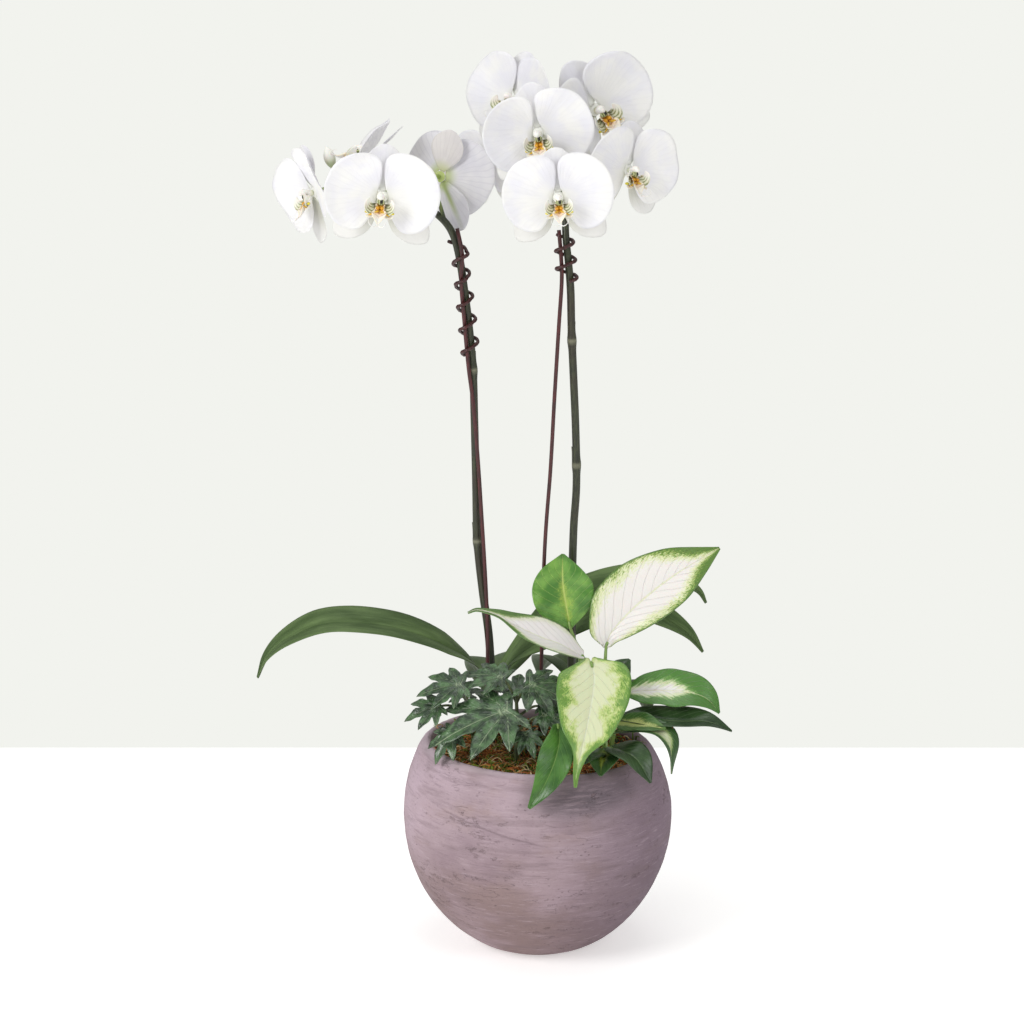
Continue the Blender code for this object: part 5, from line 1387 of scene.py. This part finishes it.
def build_leafy_stem(looks):
    """Small foliage plant on the right with its leaves."""
    body = Body()
    body.add(tube_shape(stem_path(LEAFY_FOOT, LEAFY_STEM[:1], LEAFY_STEM[1]), [2.2, 2.1, 1.6], 12))
    for look, rib, face, widths in LEAFY_LEAVES:
        blade = blade_grid(rib, face, widths, 30, 8, fold=14, curl=6, wave=0.7, waves=2.0, groove=0.5,
                           veins=8, relief=0.35, lean=0.34)
        body.add(sheet_shape(blade, 0.9), look)
        start = (*LEAFY_FOOT, rib[0][2] - 6.0)
        inward = vec(rib[0]) * 0.7 + vec(rib[1]) * 0.3
        body.add(tube_shape(smooth_curve([start, rib[0], inward], 12), [1.3, 1.2, 0.7], 9))
    body.make("leafy_stem_fine", [looks[key] for key in ("stalk", "deep", "star", "banded", "fleck")],
              ["leafy_stem_right"])


def palmate_outline(reach):
    """Outline of a lobed leaf: for each lobe its start, both flanks and its tip."""
    outline = []
    for index, (angle, share) in enumerate(LOBES):
        ends = []
        for way in (-1, 1):
            other = index + way
            if 0 <= other < len(LOBES):
                depth = SINUS_SHARE * (LOBES[max(index, other)][1] + 1.0) / 2
                ends.append(((angle + LOBES[other][0]) / 2, depth))
            else:
                ends.append((180.0 * way, BASE_SINUS))
        flanks = [(LOBE_SPREAD, 0.64), (LOBE_SHOULDER, 0.86)]
        stops = [ends[0]] + [(angle - off, far * share) for off, far in flanks] + [(angle, share)]
        stops += [(angle + off, far * share) for off, far in flanks[::-1]] + [ends[1]]
        corners = []
        for turn, far in stops:
            turn = math.radians(turn)
            corners.append((math.sin(turn) * reach * far, math.cos(turn) * reach * far, 0.0))
        for half in (corners[:4], corners[3:]):
            outline += [tuple(p[:2]) for p in smooth_curve(half, 9)[:-1]]
    return outline


def palmate_shape(centre, heading, face, reach, seed):
    """Lobed leaf: narrow pointed lobes from one point, each with a sunken midrib and waved edge."""
    phase = random.Random(seed).uniform(0, 6)
    normal = unit(face)
    ahead = vec(heading)
    ahead = unit(ahead - np.dot(ahead, normal) * normal)
    side = np.cross(ahead, normal)

    def lobe_of(x, y):
        """Distance from the nearest lobe's midrib and share along it."""
        turn = math.degrees(math.atan2(x, y))
        away = math.hypot(x, y)
        off = min(((turn - angle + 180) % 360 - 180 for angle, _ in LOBES), key=abs)
        return away * abs(math.sin(math.radians(off))) / (reach * 0.11), away / reach

    def height(x, y):
        off, share = lobe_of(x, y)
        droop = 2.0 * share - 10.0 * share ** 2 * reach / 40.0
        trough = 0.035 * reach * min(off, 1.3) * min(share * 2.5, 1.0)
        waved = 0.018 * reach * off * math.sin(share * 19.0 + phase + x * 0.1)
        return (x, y, droop + trough + waved)

    points, faces, spots = patch_shape(palmate_outline(reach), height, 0.8, 8, (0, 0.10 * reach), lobe_of)
    return vec(centre) + points @ np.array([side, ahead, normal]), faces, spots


def build_lobed(looks):
    """Lobed foliage on the left: every stem with its leaves."""
    seed = 40
    for name, foot, bends, leaves in LOBED:
        body = Body()
        path = stem_path(foot, bends[:1], bends[1])
        body.add(tube_shape(path, [1.8, 1.7, 1.3], 12), 1)
        for centre, heading, face, reach in leaves:
            seed += 1
            body.add(palmate_shape(centre, heading, face, reach, seed))
            start = at_height(path, min(centre[2], bends[1][2]) - 10.0)
            middle = start * 0.4 + vec(centre) * 0.6 + np.array([0, 0, 3.0])
            end = vec(centre) + unit(heading) * 1.5
            body.add(tube_shape(smooth_curve([start, middle, end], 14), [1.2, 1.1, 0.9], 9), 1)
        body.make(name + "_fine", [looks["lobed"], looks["lobed_stalk"]], [name])


def crown_seam(angle, share):
    """Overlapping leaf bases of a crown."""
    return 1.0 - 0.06 * abs(math.sin(2.5 * angle + 6.0 * share)) ** 6


def build_orchid_leaves(looks):
    """Long folded leaves, and the crowns that they grow from."""
    for name, rib, face, widths, fold, curl in ORCHID_LEAVES:
        body = Body()
        body.add(sheet_shape(blade_grid(rib, face, widths, 60, 9, fold, curl, groove=0.9), 1.5, 0.7))
        body.make(name + "_fine", [looks["orchid"]], [name])
    for name, x, y, top in CROWNS:
        path = smooth_curve([(x, y, STEM_FOOT), (x, y, 170), (x, y, top - 6), (x, y, top)], 40)
        radii = smooth_profile([1.0, 1.0, 1.0, 0.98, 0.9, 0.5], np.linspace(0, 1, 40)) * CROWN_RADIUS
        body = Body()
        body.add(tube_shape(path, radii, 26, crown_seam))
        body.make(name + "_fine", [looks["crown"]], [name])


# Floor, light and camera

def link_object(name, data):
    """New object in the scene."""
    made = bpy.data.objects.new(name, data)
    bpy.context.scene.collection.objects.link(made)
    return made


def build_floor():
    mesh = bpy.data.meshes.new("floor")
    corners = [(-FLOOR_SIZE, -FLOOR_SIZE, 0), (FLOOR_SIZE, -FLOOR_SIZE, 0), (FLOOR_SIZE, FLOOR_BACK, 0),
               (-FLOOR_SIZE, FLOOR_BACK, 0)]
    mesh.from_pydata(corners, [], [(0, 1, 2, 3)])
    floor = link_object("floor", mesh)
    look = Look("floor_white", 0.9, gloss=0.1, glow_colour=(1.0, 0.99, 0.98, 1.0), glow=FLOOR_GLOW)
    mesh.materials.append(look.finish(look.mix(look.noise(3.0, 2.0), "fbfbfa", "f8f8f7")))


def build_light():
    """Even white light and three soft lamps; the camera sees a pale backdrop."""
    world = bpy.data.worlds.new("studio")
    bpy.context.scene.world = world
    world.use_nodes = True
    tree = world.node_tree
    tree.nodes.clear()
    path = tree.nodes.new("ShaderNodeLightPath")
    choose = tree.nodes.new("ShaderNodeMixShader")
    out = tree.nodes.new("ShaderNodeOutputWorld")
    for index, colour, strength in ((1, (1.0, 1.0, 1.0, 1.0), WORLD_LIGHT), (2, tint(BACKDROP), 1.0)):
        sky = tree.nodes.new("ShaderNodeBackground")
        sky.inputs["Color"].default_value = colour
        sky.inputs["Strength"].default_value = strength
        tree.links.new(sky.outputs[0], choose.inputs[index])
    tree.links.new(path.outputs["Is Camera Ray"], choose.inputs[0])
    tree.links.new(choose.outputs[0], out.inputs[0])
    for name, place, target, size, power in LIGHTS:
        light = bpy.data.lights.new(name, "AREA")
        light.shape = "DISK"
        light.size = size
        light.energy = power
        lamp = link_object(name, light)
        lamp.location = place
        aim = vec(target) - vec(place)
        lamp.rotation_euler = (math.acos(-unit(aim)[2]), 0.0, math.atan2(aim[1], aim[0]) - math.pi / 2)


def build_camera():
    camera = bpy.data.cameras.new("camera")
    camera.sensor_width = SENSOR
    camera.lens = FOCAL_PIXELS * SENSOR / PICTURE_PIXELS
    camera.clip_end = 50.0
    shooter = link_object("camera", camera)
    shooter.location = CAMERA_PLACE
    shooter.rotation_euler = (math.pi / 2 - math.radians(CAMERA_PITCH), 0.0, 0.0)
    bpy.context.scene.camera = shooter
    bpy.context.scene.view_settings.view_transform = "Standard"


looks = all_looks()
build_pot()
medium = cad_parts["growing_medium"].data.materials
medium.clear()
medium.append(bark_look())
build_moss()
build_orchids(looks)
build_orchid_leaves(looks)
for row in BROAD_LEAVES:
    build_broad_leaf(looks, *row)
build_leafy_stem(looks)
build_lobed(looks)
build_floor()
build_light()
build_camera()
